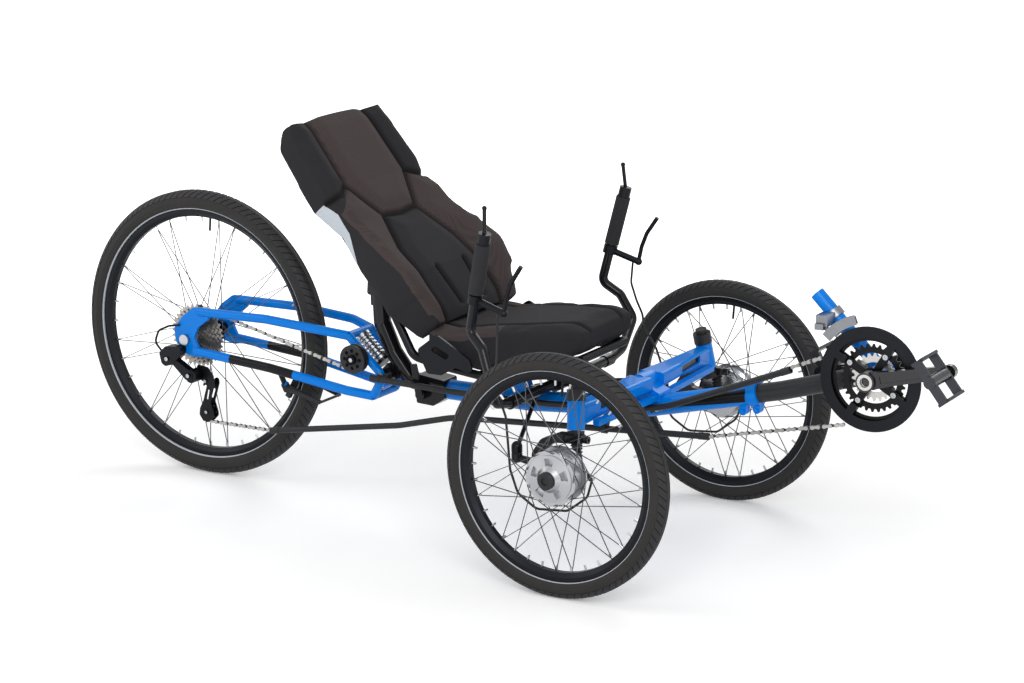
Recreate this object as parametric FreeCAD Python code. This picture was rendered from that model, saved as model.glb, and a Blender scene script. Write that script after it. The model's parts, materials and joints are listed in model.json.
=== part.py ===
import FreeCAD, Part
import math
import os
from FreeCAD import Vector as V

# Recumbent tadpole trike, millimetres. +X forward, +Y to the rider's left, +Z up.
# Sizes are worked out from the front axle line on the ground, then placed so that
# the origin is on the ground under the middle of the whole trike.

# Wheels
WHEELBASE = 1116.0
TRACK = 736.8
FRONT_TYRE_R = 243.0
FRONT_TYRE_WIDTH = 40.0
REAR_TYRE_R = 324.2
REAR_TYRE_WIDTH = 47.0
RIM_WIDTH = 25.0
RIM_DEPTH = 18.0
RIM_OVERLAP = 6.0
TYRE_SIDES = 13
SPOKE_R = 1.1
SPOKE_SIDES = 4
SPOKE_COUNT = 36
SPOKE_CROSSING = 3
FLANGE_LIP = 3.0
FIT_GAP = 0.3
RUN_GAP = 1.0

# Hubs
DRUM_R = 55.0
DRUM_FLANGE_T = 4.0
FRONT_HUB_HALF = 21.0
FRONT_HUB_CAP_OUT = 44.0
REAR_HUB_HALF = 23.0
REAR_HUB_R = 20.0
REAR_HUB_END = 65.0
FREEHUB_R = 17.0
REAR_FLANGE_R = 31.0
REAR_AXLE_R = 6.0
DROPOUT_HALF = 67.5
DROPOUT_T = 8.0
CASSETTE_TEETH = (34, 30, 26, 23, 20, 17, 15, 13, 11)
CASSETTE_TOOTH_T = 2.0
CASSETTE_RING_DEPTH = 13.0
CHAIN_PITCH = 12.7
TOOTH_DROP = 3.8
TOOTH_RISE = 2.2
CASSETTE_PITCH = 3.8
CASSETTE_INNER = 32.0
HUB_WINDOWS = 5
WINDOW_OUTER_R = 41.0
WINDOW_INNER_R = 27.0
WINDOW_DEPTH = 16.0
HUB_NOTCHES = 9
HUB_NOTCH_R = 5.0
FRONT_AXLE_R = 8.0
SHAFT_GAP = 0.05

# Cranks and boom
BB_X = 515.0
BB_Z = 428.0
CRANK_LENGTH = 175.0
CRANK_RISE = 14.0
CRANK_HALF_TREAD = 100.0
PEDAL_CENTRE = 150.0
PEDAL_LENGTH = 88.0
PEDAL_WIDTH = 74.0
PEDAL_HEIGHT = 26.0
PEDAL_TILT = 52.0
CHAINLINE = 50.0
RING_TEETH = (44, 32, 22)
RING_PITCH = 7.0
RING_T = 2.5
RING_DEPTH = 15.0
SPIDER_ARM_HALF = 8.0
SPIDER_TURN = 45.0 - CRANK_RISE
GUARD_R = 103.0
BOOM_R = 19.0
MAIN_TUBE_R = 21.5
POST_R = 14.3
POST_LENGTH = 200.0
POST_RISE = 45.0
BB_SHELL_R = 20.0
BB_SHELL_HALF = 34.0
SPINDLE_R = 12.0
SPIDER_FACE_Y = -56.0
GUARD_Y = -65.0
GUARD_T = 3.0
GUARD_WIDTH = 22.0
GUARD_PAD_R = 68.0

# Frame
MAIN_REAR_X = -470.0
MAIN_MID_X = -274.0
MAIN_MID_Z = 272.0
MAIN_FRONT_X = 2.0
MAIN_FRONT_Z = 295.0
BOOM_CLAMP_X = 241.0
BOOM_CLAMP_Z = 351.0
EAR_PITCH = 30.0
EAR_HALF = 9.0
EAR_R = 8.0
EAR_DROP = 32.0
HINGE_X = -522.0
HINGE_REAR_X = -540.0
REAR_TUBE_R = 19.0
YOKE_HALF = 31.0
SWING_Y = 42.0
SWING_R = 9.5
SWING_BOLT_R = 6.0
BRIDGE_X = -700.0
BRIDGE_Z = 372.0
BRIDGE_R = 9.0
SPRING_R = 17.0
SPRING_REACH = 80.0
SPRING_TURNS = 6
SPRING_CAP = 7.0
SPRING_CORE_R = 11.0
ARM_Z = 347.0
ARM_WAIST_Y = 110.0
ARM_RECESS_IN = 112.0
ARM_RECESS_OUT = 215.0
ARM_TAPER = 6.0
BOSS_X = -4.0
BOSS_Z = 345.0
BOSS_R = 21.0
LUG_HALF = 24.0
HEAD_TUBE_R = 17.5
HEAD_TUBE_TOP_Y = TRACK / 2 - 95.4
HEAD_TUBE_TOP_Z = 369.0
HEAD_TUBE_TOP_X = -8.5
HEAD_TUBE_BOTTOM_Y = TRACK / 2 - 83.4
HEAD_TUBE_BOTTOM_Z = 313.6
HEAD_TUBE_BOTTOM_X = -3.0
KINGPIN_R = 10.0
KNUCKLE_AXLE_R = 16.0
FORGING_Y = TRACK / 2 - 64.4
FORGING_T = 18.0
BOOT_X = 9.0
BOOT_TOP_Z = 292.7
BOOT_R = 12.0
BOOT_FOLDS = 5
SWING_PIVOT_X = -613.0
SWING_PIVOT_Z = 292.0

# Rear brake
REAR_X = -WHEELBASE
BRAKE_X = REAR_X + 248.0
BRAKE_Z = 236.0
BRAKE_GAP = 5.0
BRAKE_BOSS_R = 6.0
BRAKE_END_X = BRAKE_X + 84.0
BRAKE_END_Y = 36.0
BRAKE_END_Z = 212.0

# Steering
STEER_X = -112.0
STEER_Z = 312.0
STEER_LEAN = 12.0
STEER_POST_R = 15.0
STEER_PIN_R = 8.0
STEER_HUB_R = 20.0
STEER_HUB_H = 26.0
INNER_BALL_X = -223.0
INNER_BALL_Y = 58.0
INNER_BALL_Z = 311.0
OUTER_BALL_X = -122.0
OUTER_BALL_Y = TRACK / 2 - 58.4
OUTER_BALL_Z = FRONT_TYRE_R + 23.0
ROD_R = 4.5
ROD_DROP = 3.0
ROD_END_R = 11.0
ROD_END_HALF = 6.0
ROD_LIFT = 3.0
ROD_PIN_R = 4.0
ROD_AXIS_BACK = 7.71
ROD_AXIS_OUT = 2.516
LUG_T = 8.0
LUG_LIFT = 2.0
CROSS_X = -198.0
CROSS_Z = 325.0
CROSS_HALF = 224.0
BAR_R = 11.0
UPRIGHT_R = 10.0
KNEE_X = -251.0
KNEE_Y = 270.0
KNEE_Z = 478.0
BAR_TOP_X = -206.0
BAR_TOP_Y = 287.0
BAR_TOP_Z = 668.0
GRIP_R = 15.5
GRIP_LOW_Z = 561.0
GRIP_HIGH_Z = 663.0

# Seat
BASE_CORNER = 14.0
BACK_FOOT_X = -418.0
BACK_FOOT_Z = 450.0
BACK_LEAN = 52.6
BACK_DEPTH = 55.0
SEAT_TUBE_R = 9.0
SEAT_GAP = 0.8
BRACKET_BRIDGE_Z = 474.0
BRACKET_BRIDGE_R = 8.0
BASE_UNDER_Z = 366.0
BASE_UNDER_X = -304.0
SEAT_RAIL_Y = 150.0
SIDE_PLATE_Y = 184.0
SEAT_CROSS_X = -612.4
SEAT_CROSS_Z = 598.0

# Idler and chain
IDLER_X = -670.0
IDLER_Z = 330.0
IDLER_R = 31.0
IDLER_Y = 67.0
IDLER_HOLES = 8
IDLER_HOLE_R = 4.2
IDLER_HOLE_AT = 19.0
CHAIN_TUBE_R = 6.5
CHAIN_OUTER_HALF = 3.3
CHAIN_INNER_HALF = 2.3
CHAIN_TALL = 8.0
CHAIN_LAP = 1.5
TUBE_MOUTH = 14.0
CAGE_Y = -58.0
CAGE_HALF = 9.0
JOCKEY_X = REAR_X + 44.0
JOCKEY_TEETH = 8
LINK_FRONT = 24.0
CABLE_R = 2.4
CABLE_OUT = 21.0
CABLE_END_X = 57.0
CABLE_END_Z = FRONT_TYRE_R - 8.0
CLIP_X = -66.0
CLIP_T = 12.0
CLIP_WALL = 3.0
TUBE_BORE_R = 5.5
UPPER_TUBE = [V(-630, -65, 292), V(-434, -46, 281), V(-205, -37, 282), V(49, -36, 304),
              V(344, -52, 424)]
LOWER_TUBE = [V(170, -55, 267), V(-425, -57, 230), V(-565, -58, 194), V(-903, -58, 138)]

PEDAL_REACH = (BB_X + CRANK_LENGTH * math.cos(math.radians(CRANK_RISE))
               + PEDAL_LENGTH / 2 * math.cos(math.radians(PEDAL_TILT))
               + PEDAL_HEIGHT / 2 * math.sin(math.radians(PEDAL_TILT)))
AXLE_X = (WHEELBASE + REAR_TYRE_R - PEDAL_REACH) / 2
SIDES = {"left": 1, "right": -1}


def save(node, shapes):
    shapes = shapes if isinstance(shapes, list) else [shapes]
    solids = [solid for shape in shapes for solid in shape.Solids]
    whole = solids[0] if len(solids) == 1 else Part.makeCompound(solids)
    whole = whole.copy()
    whole.translate(V(AXLE_X, 0, 0))
    whole.exportStep("parts/" + node + ".step")
    print(node, len(solids), round(whole.Volume / 1000, 1), "cm3", whole.isValid())


def fuse(*shapes):
    whole = shapes[0]
    if len(shapes) > 1:
        whole = shapes[0].multiFuse(list(shapes[1:]))
    return whole.removeSplitter()


def cut(base, *tools):
    result = base
    for tool in tools:
        result = result.cut(tool)
    return result


def rod(start, end, radius):
    run = end - start
    return Part.makeCylinder(radius, run.Length, start, run)


def cone(start, end, start_radius, end_radius):
    run = end - start
    return Part.makeCone(start_radius, end_radius, run.Length, start, run)


def ball(centre, radius):
    return Part.makeSphere(radius, centre)


def rounded_path(points, radius, closed=False):
    """A wire of straight runs joined by tangent arcs."""
    count = len(points)
    edges = []
    corners = range(count) if closed else range(1, count - 1)
    arcs = {}
    for index in corners:
        before = points[index - 1] - points[index]
        after = points[(index + 1) % count] - points[index]
        half = before.getAngle(after) / 2
        size = radius[index] if isinstance(radius, (list, tuple)) else radius
        reach = size / math.tan(half)
        before.normalize()
        after.normalize()
        middle = before + after
        middle.normalize()
        top = points[index] + middle * (size / math.sin(half) - size)
        arcs[index] = (points[index] + before * reach, top, points[index] + after * reach)
    last = count if closed else count - 1
    for index in range(last):
        following = (index + 1) % count
        start = arcs[index][2] if index in arcs else points[index]
        end = arcs[following][0] if following in arcs else points[following]
        if (end - start).Length > 0.001:
            edges.append(Part.LineSegment(start, end).toShape())
        if following in arcs:
            edges.append(Part.Arc(*arcs[following]).toShape())
    return Part.Wire(edges)


def pipe(points, radius, bend):
    path = rounded_path(points, bend)
    ring = Part.Wire(Part.makeCircle(radius, points[0], points[1] - points[0]))
    return path.makePipeShell([ring], True, False)


def plate(points, radius, thickness):
    """A flat plate with rounded corners; thickness is a vector."""
    face = Part.Face(rounded_path(points, radius, closed=True))
    return face.extrude(thickness)


def plate_y(outline, y, thickness, radius):
    """A plate across Y from an outline of (x, z) corners, centred on y."""
    points = [V(x, y - thickness / 2, z) for x, z in outline]
    return plate(points, radius, V(0, thickness, 0))


def box(low, high):
    return Part.makeBox(high[0] - low[0], high[1] - low[1], high[2] - low[2], V(*low))


def turned(profile, centre):
    """A solid turned about the Y axis line through centre, from (y, r) corners."""
    points = [V(centre.x, centre.y + y, centre.z + r) for y, r in profile]
    face = Part.Face(Part.makePolygon(points + [points[0]]))
    return face.revolve(centre, V(0, 1, 0), 360)


def around_y(shape, centre, angle):
    copy = shape.copy()
    copy.rotate(centre, V(0, 1, 0), angle)
    return copy


def pattern_y(shape, centre, count):
    return [around_y(shape, centre, 360.0 * step / count) for step in range(count)]


def tyre(centre, outer_r, width):
    """A tyre's section turned about the axle: round casing with a flat bead seat."""
    middle_r = outer_r - width / 2
    seat_r = rim_radius(outer_r, width)
    low = math.degrees(math.asin((middle_r - seat_r) / (width / 2)))
    section = []
    for step in range(TYRE_SIDES + 1):
        turn = math.radians(-low + (180 + 2 * low) * step / TYRE_SIDES)
        section.append((width / 2 * math.cos(turn), middle_r + width / 2 * math.sin(turn)))
    return turned(section, centre)


def rim_radius(outer_r, width):
    return outer_r - width + RIM_OVERLAP


def rim(centre, outer_r, width):
    top = rim_radius(outer_r, width)
    half = RIM_WIDTH / 2
    floor = half * 0.5
    profile = [(-half, top), (half, top), (half, top - RIM_DEPTH * 0.5),
               (floor, top - RIM_DEPTH), (-floor, top - RIM_DEPTH), (-half, top - RIM_DEPTH * 0.5)]
    return turned(profile, centre)


def spoke(start, end):
    run = end - start
    side = run.cross(V(0, 1, 0))
    side.normalize()
    other = side.cross(run)
    other.normalize()
    corners = []
    for step in range(SPOKE_SIDES):
        turn = 2 * math.pi * (step + 0.5) / SPOKE_SIDES
        corners.append(start + side * (SPOKE_R * math.cos(turn)) + other * (SPOKE_R * math.sin(turn)))
    return Part.Face(Part.makePolygon(corners + [corners[0]])).extrude(run)


def spokes(centre, flanges, rim_inner_r):
    """Crossed spokes; each flange is (y offset, radius, half thickness)."""
    solids = []
    per_flange = SPOKE_COUNT // 2
    for side, (offset, flange_r, half_t) in enumerate(flanges):
        for index in range(per_flange):
            lead = 1 if index % 2 else -1
            flange_edge, reach = flange_r + FLANGE_LIP, rim_inner_r - FIT_GAP
            lean = abs(offset) * math.sqrt(flange_edge ** 2 - flange_r ** 2) / reach
            outside = lead * offset > 0
            face = half_t + SPOKE_R + FIT_GAP + (lean if outside else 0)
            start_angle = 2 * math.pi * (index + side * 0.5) / per_flange
            lead_turns = SPOKE_CROSSING + 0.5
            end_angle = start_angle + lead * 2 * math.pi * lead_turns / per_flange
            outward = 1 if offset > 0 else -1
            start = centre + V(flange_r * math.sin(start_angle), offset + lead * face,
                               flange_r * math.cos(start_angle))
            end = centre + V(reach * math.sin(end_angle), outward * SPOKE_R * 2,
                             reach * math.cos(end_angle))
            solids.append(spoke(start, end))
    return solids


def front_hub(side):
    """Drum hub shell with a windowed outer face; side is +1 for the left."""
    centre = V(0, side * TRACK / 2, FRONT_TYRE_R)
    half = FRONT_HUB_HALF
    profile = [(-half - 8, 0), (-half - 8, 49), (-half + 4, 49), (-half + 4, 46), (half - 6, 40),
               (half - 2, 47), (half + 4, 47), (half + 8, 26), (half + 16, 19), (half + 16, 0)]
    shell = turned([(side * y, r) for y, r in profile], centre)
    flange_out = turned([(side * (half - 2), 40), (side * (half - 2), DRUM_R),
                         (side * (half + 2), DRUM_R), (side * (half + 2), 40)], centre)
    flange_in = turned([(side * (-half - 2), 45), (side * (-half - 2), DRUM_R),
                        (side * (-half + 2), DRUM_R), (side * (-half + 2), 45)], centre)
    hub = fuse(shell, flange_out, flange_in)
    start = centre + V(0, side * (half - 3), 0)
    outward = V(0, side, 0)
    depth = outward * WINDOW_DEPTH
    pocket = Part.makeCylinder(WINDOW_OUTER_R, WINDOW_DEPTH, start, outward)
    pocket = pocket.cut(Part.makeCylinder(WINDOW_INNER_R, WINDOW_DEPTH, start, outward))
    wedge = Part.Face(Part.makePolygon([start, start + V(-16, 0, 60), start + V(16, 0, 60), start]))
    pocket = pocket.common(wedge.extrude(depth))
    for pocket_copy in pattern_y(pocket, centre, HUB_WINDOWS):
        hub = hub.cut(pocket_copy)
    notch = Part.makeCylinder(HUB_NOTCH_R, 8, centre + V(0, side * (half - 4), DRUM_R + 1.5), V(0, side, 0))
    for notch_copy in pattern_y(notch, centre, HUB_NOTCHES):
        hub = hub.cut(notch_copy)
    bore = rod(centre - V(0, side * (half + 9), 0), centre + V(0, side * half, 0), FRONT_AXLE_R + SHAFT_GAP)
    return hub.cut(bore)


def front_hub_cap(side):
    centre = V(0, side * TRACK / 2, FRONT_TYRE_R)
    half = FRONT_HUB_HALF
    profile = [(half + 16, 0), (half + 16, 17.5), (FRONT_HUB_CAP_OUT - 2, 17.5),
               (FRONT_HUB_CAP_OUT, 15.5), (FRONT_HUB_CAP_OUT, 8), (FRONT_HUB_CAP_OUT - 3, 8),
               (FRONT_HUB_CAP_OUT - 3, 0)]
    return turned([(side * y, r) for y, r in profile], centre)


def rear_hub(centre):
    """Hub shell with its two flanges and the freehub body on the right."""
    half = REAR_HUB_HALF
    bore = REAR_AXLE_R + SHAFT_GAP
    profile = [(-REAR_HUB_END, bore), (-REAR_HUB_END, FREEHUB_R), (-half - 7, FREEHUB_R),
               (-half - 3, REAR_FLANGE_R), (-half, REAR_FLANGE_R), (-half, REAR_HUB_R),
               (half, REAR_HUB_R), (half, REAR_FLANGE_R), (half + 3, REAR_FLANGE_R),
               (half + 5, REAR_HUB_R), (half + 20, 12.0), (REAR_HUB_END, 11.0), (REAR_HUB_END, bore)]
    return turned(profile, centre)


def sprocket(centre, y, teeth, thickness, bore_r):
    """A toothed disc: each tooth is a short taper between two roller seats."""
    pitch_r = CHAIN_PITCH / (2 * math.sin(math.pi / teeth))
    outline = []
    for tooth in range(teeth):
        for share, radius in ((-0.34, pitch_r - TOOTH_DROP), (-0.13, pitch_r + TOOTH_RISE),
                              (0.13, pitch_r + TOOTH_RISE), (0.34, pitch_r - TOOTH_DROP)):
            turn = 2 * math.pi * (tooth + share) / teeth
            outline.append(centre + V(radius * math.sin(turn), y - thickness / 2, radius * math.cos(turn)))
    disc = Part.Face(Part.makePolygon(outline + [outline[0]])).extrude(V(0, thickness, 0))
    return disc.cut(Part.makeCylinder(bore_r, thickness, centre + V(0, y - thickness / 2, 0), V(0, 1, 0)))


def sprocket_rim(teeth):
    """Outer radius of a toothed wheel, over its teeth."""
    return CHAIN_PITCH / (2 * math.sin(math.pi / teeth)) + TOOTH_RISE


def cassette(centre):
    """Sprockets on their carrier, largest beside the spokes."""
    rings = []
    arms = []
    for gear, teeth in enumerate(CASSETTE_TEETH):
        y = -(CASSETTE_INNER + CASSETTE_PITCH * gear)
        pitch_r = CHAIN_PITCH / (2 * math.sin(math.pi / teeth))
        bore_r = max(FREEHUB_R, pitch_r - CASSETTE_RING_DEPTH)
        rings.append(sprocket(centre, y, teeth, CASSETTE_TOOTH_T, bore_r))
        if bore_r > FREEHUB_R + 3:
            arm = box((centre.x - 5, y - CASSETTE_PITCH, centre.z + FREEHUB_R + 1),
                      (centre.x + 5, y + CASSETTE_TOOTH_T / 2, centre.z + bore_r + 2))
            arms += pattern_y(arm, centre, 5)
    length = CASSETTE_PITCH * (len(CASSETTE_TEETH) - 1) + CASSETTE_TOOTH_T
    start = centre - V(0, CASSETTE_INNER - CASSETTE_TOOTH_T / 2, 0)
    sleeve = Part.makeCylinder(FREEHUB_R + 3, length, start, V(0, -1, 0))
    sleeve = sleeve.cut(Part.makeCylinder(FREEHUB_R, length, start, V(0, -1, 0)))
    return fuse(sleeve, *rings, *arms)


def make_wheels():
    rim_front = rim_radius(FRONT_TYRE_R, FRONT_TYRE_WIDTH) - RIM_DEPTH
    rim_rear = rim_radius(REAR_TYRE_R, REAR_TYRE_WIDTH) - RIM_DEPTH
    for name, side in SIDES.items():
        centre = V(0, side * TRACK / 2, FRONT_TYRE_R)
        save("front_tyre_" + name, tyre(centre, FRONT_TYRE_R, FRONT_TYRE_WIDTH))
        save("front_rim_" + name, rim(centre, FRONT_TYRE_R, FRONT_TYRE_WIDTH))
        flanges = [(side * FRONT_HUB_HALF, DRUM_R - FLANGE_LIP, DRUM_FLANGE_T / 2)
                   for side in (1, -1)]
        save("front_spokes_" + name, spokes(centre, flanges, rim_front))
        save("front_hub_" + name, front_hub(side))
        save("hub_cap_" + name, front_hub_cap(side))
    centre = V(-WHEELBASE, 0, REAR_TYRE_R)
    save("rear_tyre", tyre(centre, REAR_TYRE_R, REAR_TYRE_WIDTH))
    save("rear_rim", rim(centre, REAR_TYRE_R, REAR_TYRE_WIDTH))
    flanges = [(side * (REAR_HUB_HALF + 1.5), REAR_FLANGE_R - FLANGE_LIP, 1.5) for side in (1, -1)]
    save("rear_spokes", spokes(centre, flanges, rim_rear))
    save("rear_hub", rear_hub(centre))
    save("cassette", cassette(centre))


# Front suspension, kingpins and knuckles

def head_top(side):
    return V(HEAD_TUBE_TOP_X, side * HEAD_TUBE_TOP_Y, HEAD_TUBE_TOP_Z)


def head_bottom(side):
    return V(HEAD_TUBE_BOTTOM_X, side * HEAD_TUBE_BOTTOM_Y, HEAD_TUBE_BOTTOM_Z)


def kingpin_dir(side):
    run = head_top(side) - head_bottom(side)
    run.normalize()
    return run


def along_kingpin(side, z):
    """The point on the kingpin's axis at height z."""
    run = kingpin_dir(side)
    base = head_bottom(side)
    return base + run * ((z - base.z) / run.z)


def section_y(y, low_x, high_x, low_z, high_z, bend):
    """Rounded rectangle across the arm at y."""
    corners = [V(low_x, y, low_z), V(high_x, y, low_z), V(high_x, y, high_z), V(low_x, y, high_z)]
    return rounded_path(corners, bend, closed=True)


def suspension_arm(side):
    """Upper arm from the frame's central lug out to its head tube, with a recess in its front."""
    outer = along_kingpin(side, ARM_Z)
    wires = [section_y(side * LUG_HALF, -30, 28, ARM_Z - 15, ARM_Z + 16, 8.0),
             section_y(side * ARM_WAIST_Y, -24, 24, ARM_Z - 13, ARM_Z + 16, 8.0),
             section_y(outer.y, outer.x - 14, outer.x + 14, ARM_Z - 29, ARM_Z + 15, 8.0)]
    arm = Part.makeLoft(wires, True, True)
    low, high = sorted((side * ARM_RECESS_IN, side * ARM_RECESS_OUT))
    recess = Part.makeBox(20, high - low, 15, V(19.0, low, ARM_Z - 6))
    recess.rotate(V(19.0, side * ARM_RECESS_IN, ARM_Z), V(0, 0, 1), side * ARM_TAPER)
    head = rod(head_bottom(side), head_top(side), HEAD_TUBE_R)
    bore = rod(head_bottom(side), head_top(side), KINGPIN_R + SHAFT_GAP)
    return cut(fuse(arm.cut(recess), head), bore)


def knuckle(side):
    """Kingpin spindle, the C forging behind the hub, stub axle and steering arm."""
    run = kingpin_dir(side)
    spindle = rod(along_kingpin(side, 300.0), head_top(side) + run * (FIT_GAP + 6.0), KINGPIN_R)
    y = side * FORGING_Y
    hub = FRONT_TYRE_R
    outline = [(26, 311), (-28, 311), (-66, 295), (-87, hub + 21), (-87, hub - 13), (10, hub - 22),
               (21, hub - 3), (-14, hub + 15), (-44, hub + 17), (-60, hub + 29), (-36, 291), (26, 295)]
    bends = [4.0, 24.0, 24.0, 20.0, 10.0, 5.0, 4.0, 6.0, 12.0, 8.0, 12.0, 4.0]
    points = [V(x, y - FORGING_T / 2, z) for x, z in outline]
    forging = plate(points, bends, V(0, FORGING_T, 0))
    collar = rod(along_kingpin(side, 293.0), along_kingpin(side, 312.6), 17.0)
    clamp = rod(V(10, y, 303), V(36, y, 303), 7.5).cut(rod(V(20, y, 303), V(36, y, 303), 3.5))
    axle_start = V(0, side * (FORGING_Y - 6), FRONT_TYRE_R)
    axle_end = V(0, side * (TRACK / 2 - FRONT_HUB_HALF - 8 - RUN_GAP), FRONT_TYRE_R)
    spindle_end = V(0, side * (TRACK / 2 + FRONT_HUB_HALF - 1), FRONT_TYRE_R)
    axle = fuse(rod(axle_start, axle_end, KNUCKLE_AXLE_R), rod(axle_start, spindle_end, FRONT_AXLE_R))
    arm_end = V(OUTER_BALL_X, side * OUTER_BALL_Y, OUTER_BALL_Z - ROD_END_HALF - ROD_LIFT - 8)
    arm = cone(V(-78, y, hub - 3), arm_end, 9.0, 6.5)
    eye = rod(arm_end - V(0, 0, 8), arm_end + V(0, 0, 8), 11.0)
    return fuse(spindle, forging, collar, clamp, axle, arm, eye)


def kingpin_cap(side):
    run = kingpin_dir(side)
    start = head_top(side) + run * FIT_GAP
    body = rod(start, start + run * 22.0, 19.0)
    knob = rod(start + run * 22.0, start + run * 31.0, 12.0)
    bore = rod(start, start + run * 6.0, KINGPIN_R)
    return cut(fuse(body, knob), bore)


def gaiter(side):
    """Ribbed rubber boot between the knuckle's clamp and its stub axle."""
    foot = V(BOOT_X, side * FORGING_Y, FRONT_TYRE_R + KNUCKLE_AXLE_R + FIT_GAP)
    pitch = (BOOT_TOP_Z - foot.z) / BOOT_FOLDS
    section = [(0, BOOT_R - 4)]
    for fold in range(BOOT_FOLDS):
        section += [(pitch * (fold + 0.5), BOOT_R), (pitch * (fold + 1), BOOT_R - 4)]
    points = [foot] + [foot + V(radius, 0, up) for up, radius in section]
    points.append(foot + V(0, 0, pitch * BOOT_FOLDS))
    face = Part.Face(Part.makePolygon(points + [points[0]]))
    return face.revolve(foot, V(0, 0, 1), 360)


def brake_plate(side):
    """Drum brake's still back plate with its lever arm."""
    inner = side * (TRACK / 2 - FRONT_HUB_HALF - 8 - RUN_GAP)
    plate_in = V(0, inner, FRONT_TYRE_R)
    disc = Part.makeCylinder(47.0, 5.0, plate_in, V(0, -side, 0))
    boss = Part.makeCylinder(20.0, 7.0, plate_in, V(0, -side, 0))
    hole = Part.makeCylinder(16.0 + FIT_GAP / 2, 8.0, plate_in, V(0, -side, 0))
    y = inner - side * 9.0
    hub = FRONT_TYRE_R
    lever = plate([V(30, y, hub + 13), V(37, y, hub + 19), V(60, y, hub - 5), V(54, y, hub - 13)], 2.0,
                  V(0, side * 4, 0))
    pin = rod(V(34, y, hub + 14), V(34, inner - side * 4, hub + 14), 5.0)
    nipple = rod(V(CABLE_END_X, y - side * 4, CABLE_END_Z), V(CABLE_END_X, y + side * 4, CABLE_END_Z), 4.5)
    return cut(fuse(disc, boss, lever, pin, nipple), hole)


def make_front_end():
    for name, side in SIDES.items():
        save("knuckle_" + name, knuckle(side))
        save("kingpin_boots_" + name, [kingpin_cap(side), gaiter(side)])
        save("brake_plate_" + name, brake_plate(side))
    save("upper_arms", [suspension_arm(side) for side in SIDES.values()])
    lower = []
    for side in SIDES.values():
        lower.append(plate([V(26, side * LUG_HALF, 328), V(40, side * LUG_HALF, 328),
                            V(30, side * 250, 328), V(14, side * 250, 328)], 3.0, V(0, 0, -11)))
    save("lower_arms", lower)


# Frame

def main_frame():
    points = [V(MAIN_REAR_X, 0, MAIN_MID_Z), V(MAIN_MID_X, 0, MAIN_MID_Z),
              V(MAIN_FRONT_X, 0, MAIN_FRONT_Z), V(BOOM_CLAMP_X, 0, BOOM_CLAMP_Z)]
    tube = pipe(points, MAIN_TUBE_R, 200.0)
    front, back = BOSS_X + BOSS_R - 2, BOSS_X - BOSS_R + 2
    lug = plate_y([(-48, 292), (46, 300), (44, 330), (front, BOSS_Z), (back, BOSS_Z)], 0, 2 * LUG_HALF, 6.0)
    barrel = rod(V(BOSS_X, -LUG_HALF, BOSS_Z), V(BOSS_X, LUG_HALF, BOSS_Z), BOSS_R)
    run = points[3] - points[2]
    run.normalize()
    collar = rod(points[3] - run * 6, points[3] + run * 14, MAIN_TUBE_R + 4)
    ears = []
    for back in (0.0, EAR_PITCH):
        x = BOOM_CLAMP_X + 10 - back
        z = BOOM_CLAMP_Z + 2 - back * 0.23
        ear = rod(V(x, -EAR_HALF, z - EAR_DROP), V(x, EAR_HALF, z - EAR_DROP), EAR_R)
        bolt = rod(V(x, -EAR_HALF - 4, z - EAR_DROP), V(x, EAR_HALF + 4, z - EAR_DROP), EAR_R - 4)
        ears += [ear, bolt, box((x - EAR_R, -EAR_HALF, z - EAR_DROP), (x + EAR_R, EAR_HALF, z))]
    seat = V(STEER_X, 0, STEER_Z)
    post = rod(seat - steer_axis() * 24, seat - steer_axis() * RUN_GAP, STEER_POST_R)
    top = seat + steer_axis() * (STEER_HUB_H + RUN_GAP)
    pin = rod(seat - steer_axis() * 10, top, STEER_PIN_R)
    nut = rod(top, top + steer_axis() * 7, 13.0)
    cradle_z = BASE_UNDER_Z - 2 * SEAT_TUBE_R - SEAT_GAP - FIT_GAP
    bracket = plate_y([(-322, 280), (-266, 280), (-292, cradle_z), (-314, cradle_z)], 0, 30.0, 4.0)
    bore_start = points[3] - run * 120
    bore = rod(bore_start, points[3] + run * 20, BOOM_R + 0.05)
    slot = box((BOOM_CLAMP_X - 40, -1, 300), (BOOM_CLAMP_X + 30, 1, 350))
    return cut(fuse(tube, lug, barrel, collar, *ears, post, pin, nut, bracket), bore, slot)


def boom():
    start = V(MAIN_FRONT_X, 0, MAIN_FRONT_Z)
    clamp = V(BOOM_CLAMP_X, 0, BOOM_CLAMP_Z)
    run = clamp - start
    run.normalize()
    end = V(BB_X, 0, BB_Z)
    inner = clamp - run * 119
    tube = pipe([inner, clamp + run * 60, end], BOOM_R, 300.0)
    shell = rod(V(BB_X, -BB_SHELL_HALF, BB_Z), V(BB_X, BB_SHELL_HALF, BB_Z), BB_SHELL_R)
    bore = rod(V(BB_X, -BB_SHELL_HALF, BB_Z), V(BB_X, BB_SHELL_HALF, BB_Z), SPINDLE_R + 0.5)
    return tube.cut(shell), shell.cut(bore)


def post_axis():
    rise = math.radians(POST_RISE)
    return V(-math.cos(rise), 0, math.sin(rise))


def derailleur_post():
    centre = V(BB_X, 0, BB_Z)
    start = centre + post_axis() * 5
    return rod(start, centre + post_axis() * POST_LENGTH, POST_R), centre


def arc_plate(centre, y, thickness, inner_r, outer_r, start, sweep):
    """A ring segment across Y; angles run from +X towards +Z."""
    base = centre + V(0, y + thickness / 2, 0)
    outer = Part.makeCylinder(outer_r, thickness, base, V(0, -1, 0), sweep)
    inner = Part.makeCylinder(inner_r, thickness, base, V(0, -1, 0), sweep)
    segment = outer.cut(inner)
    low = segment.BoundBox.Center
    now = math.degrees(math.atan2(low.z - centre.z, low.x - centre.x))
    segment.rotate(centre, V(0, 1, 0), now - (start + sweep / 2))
    return segment


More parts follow.
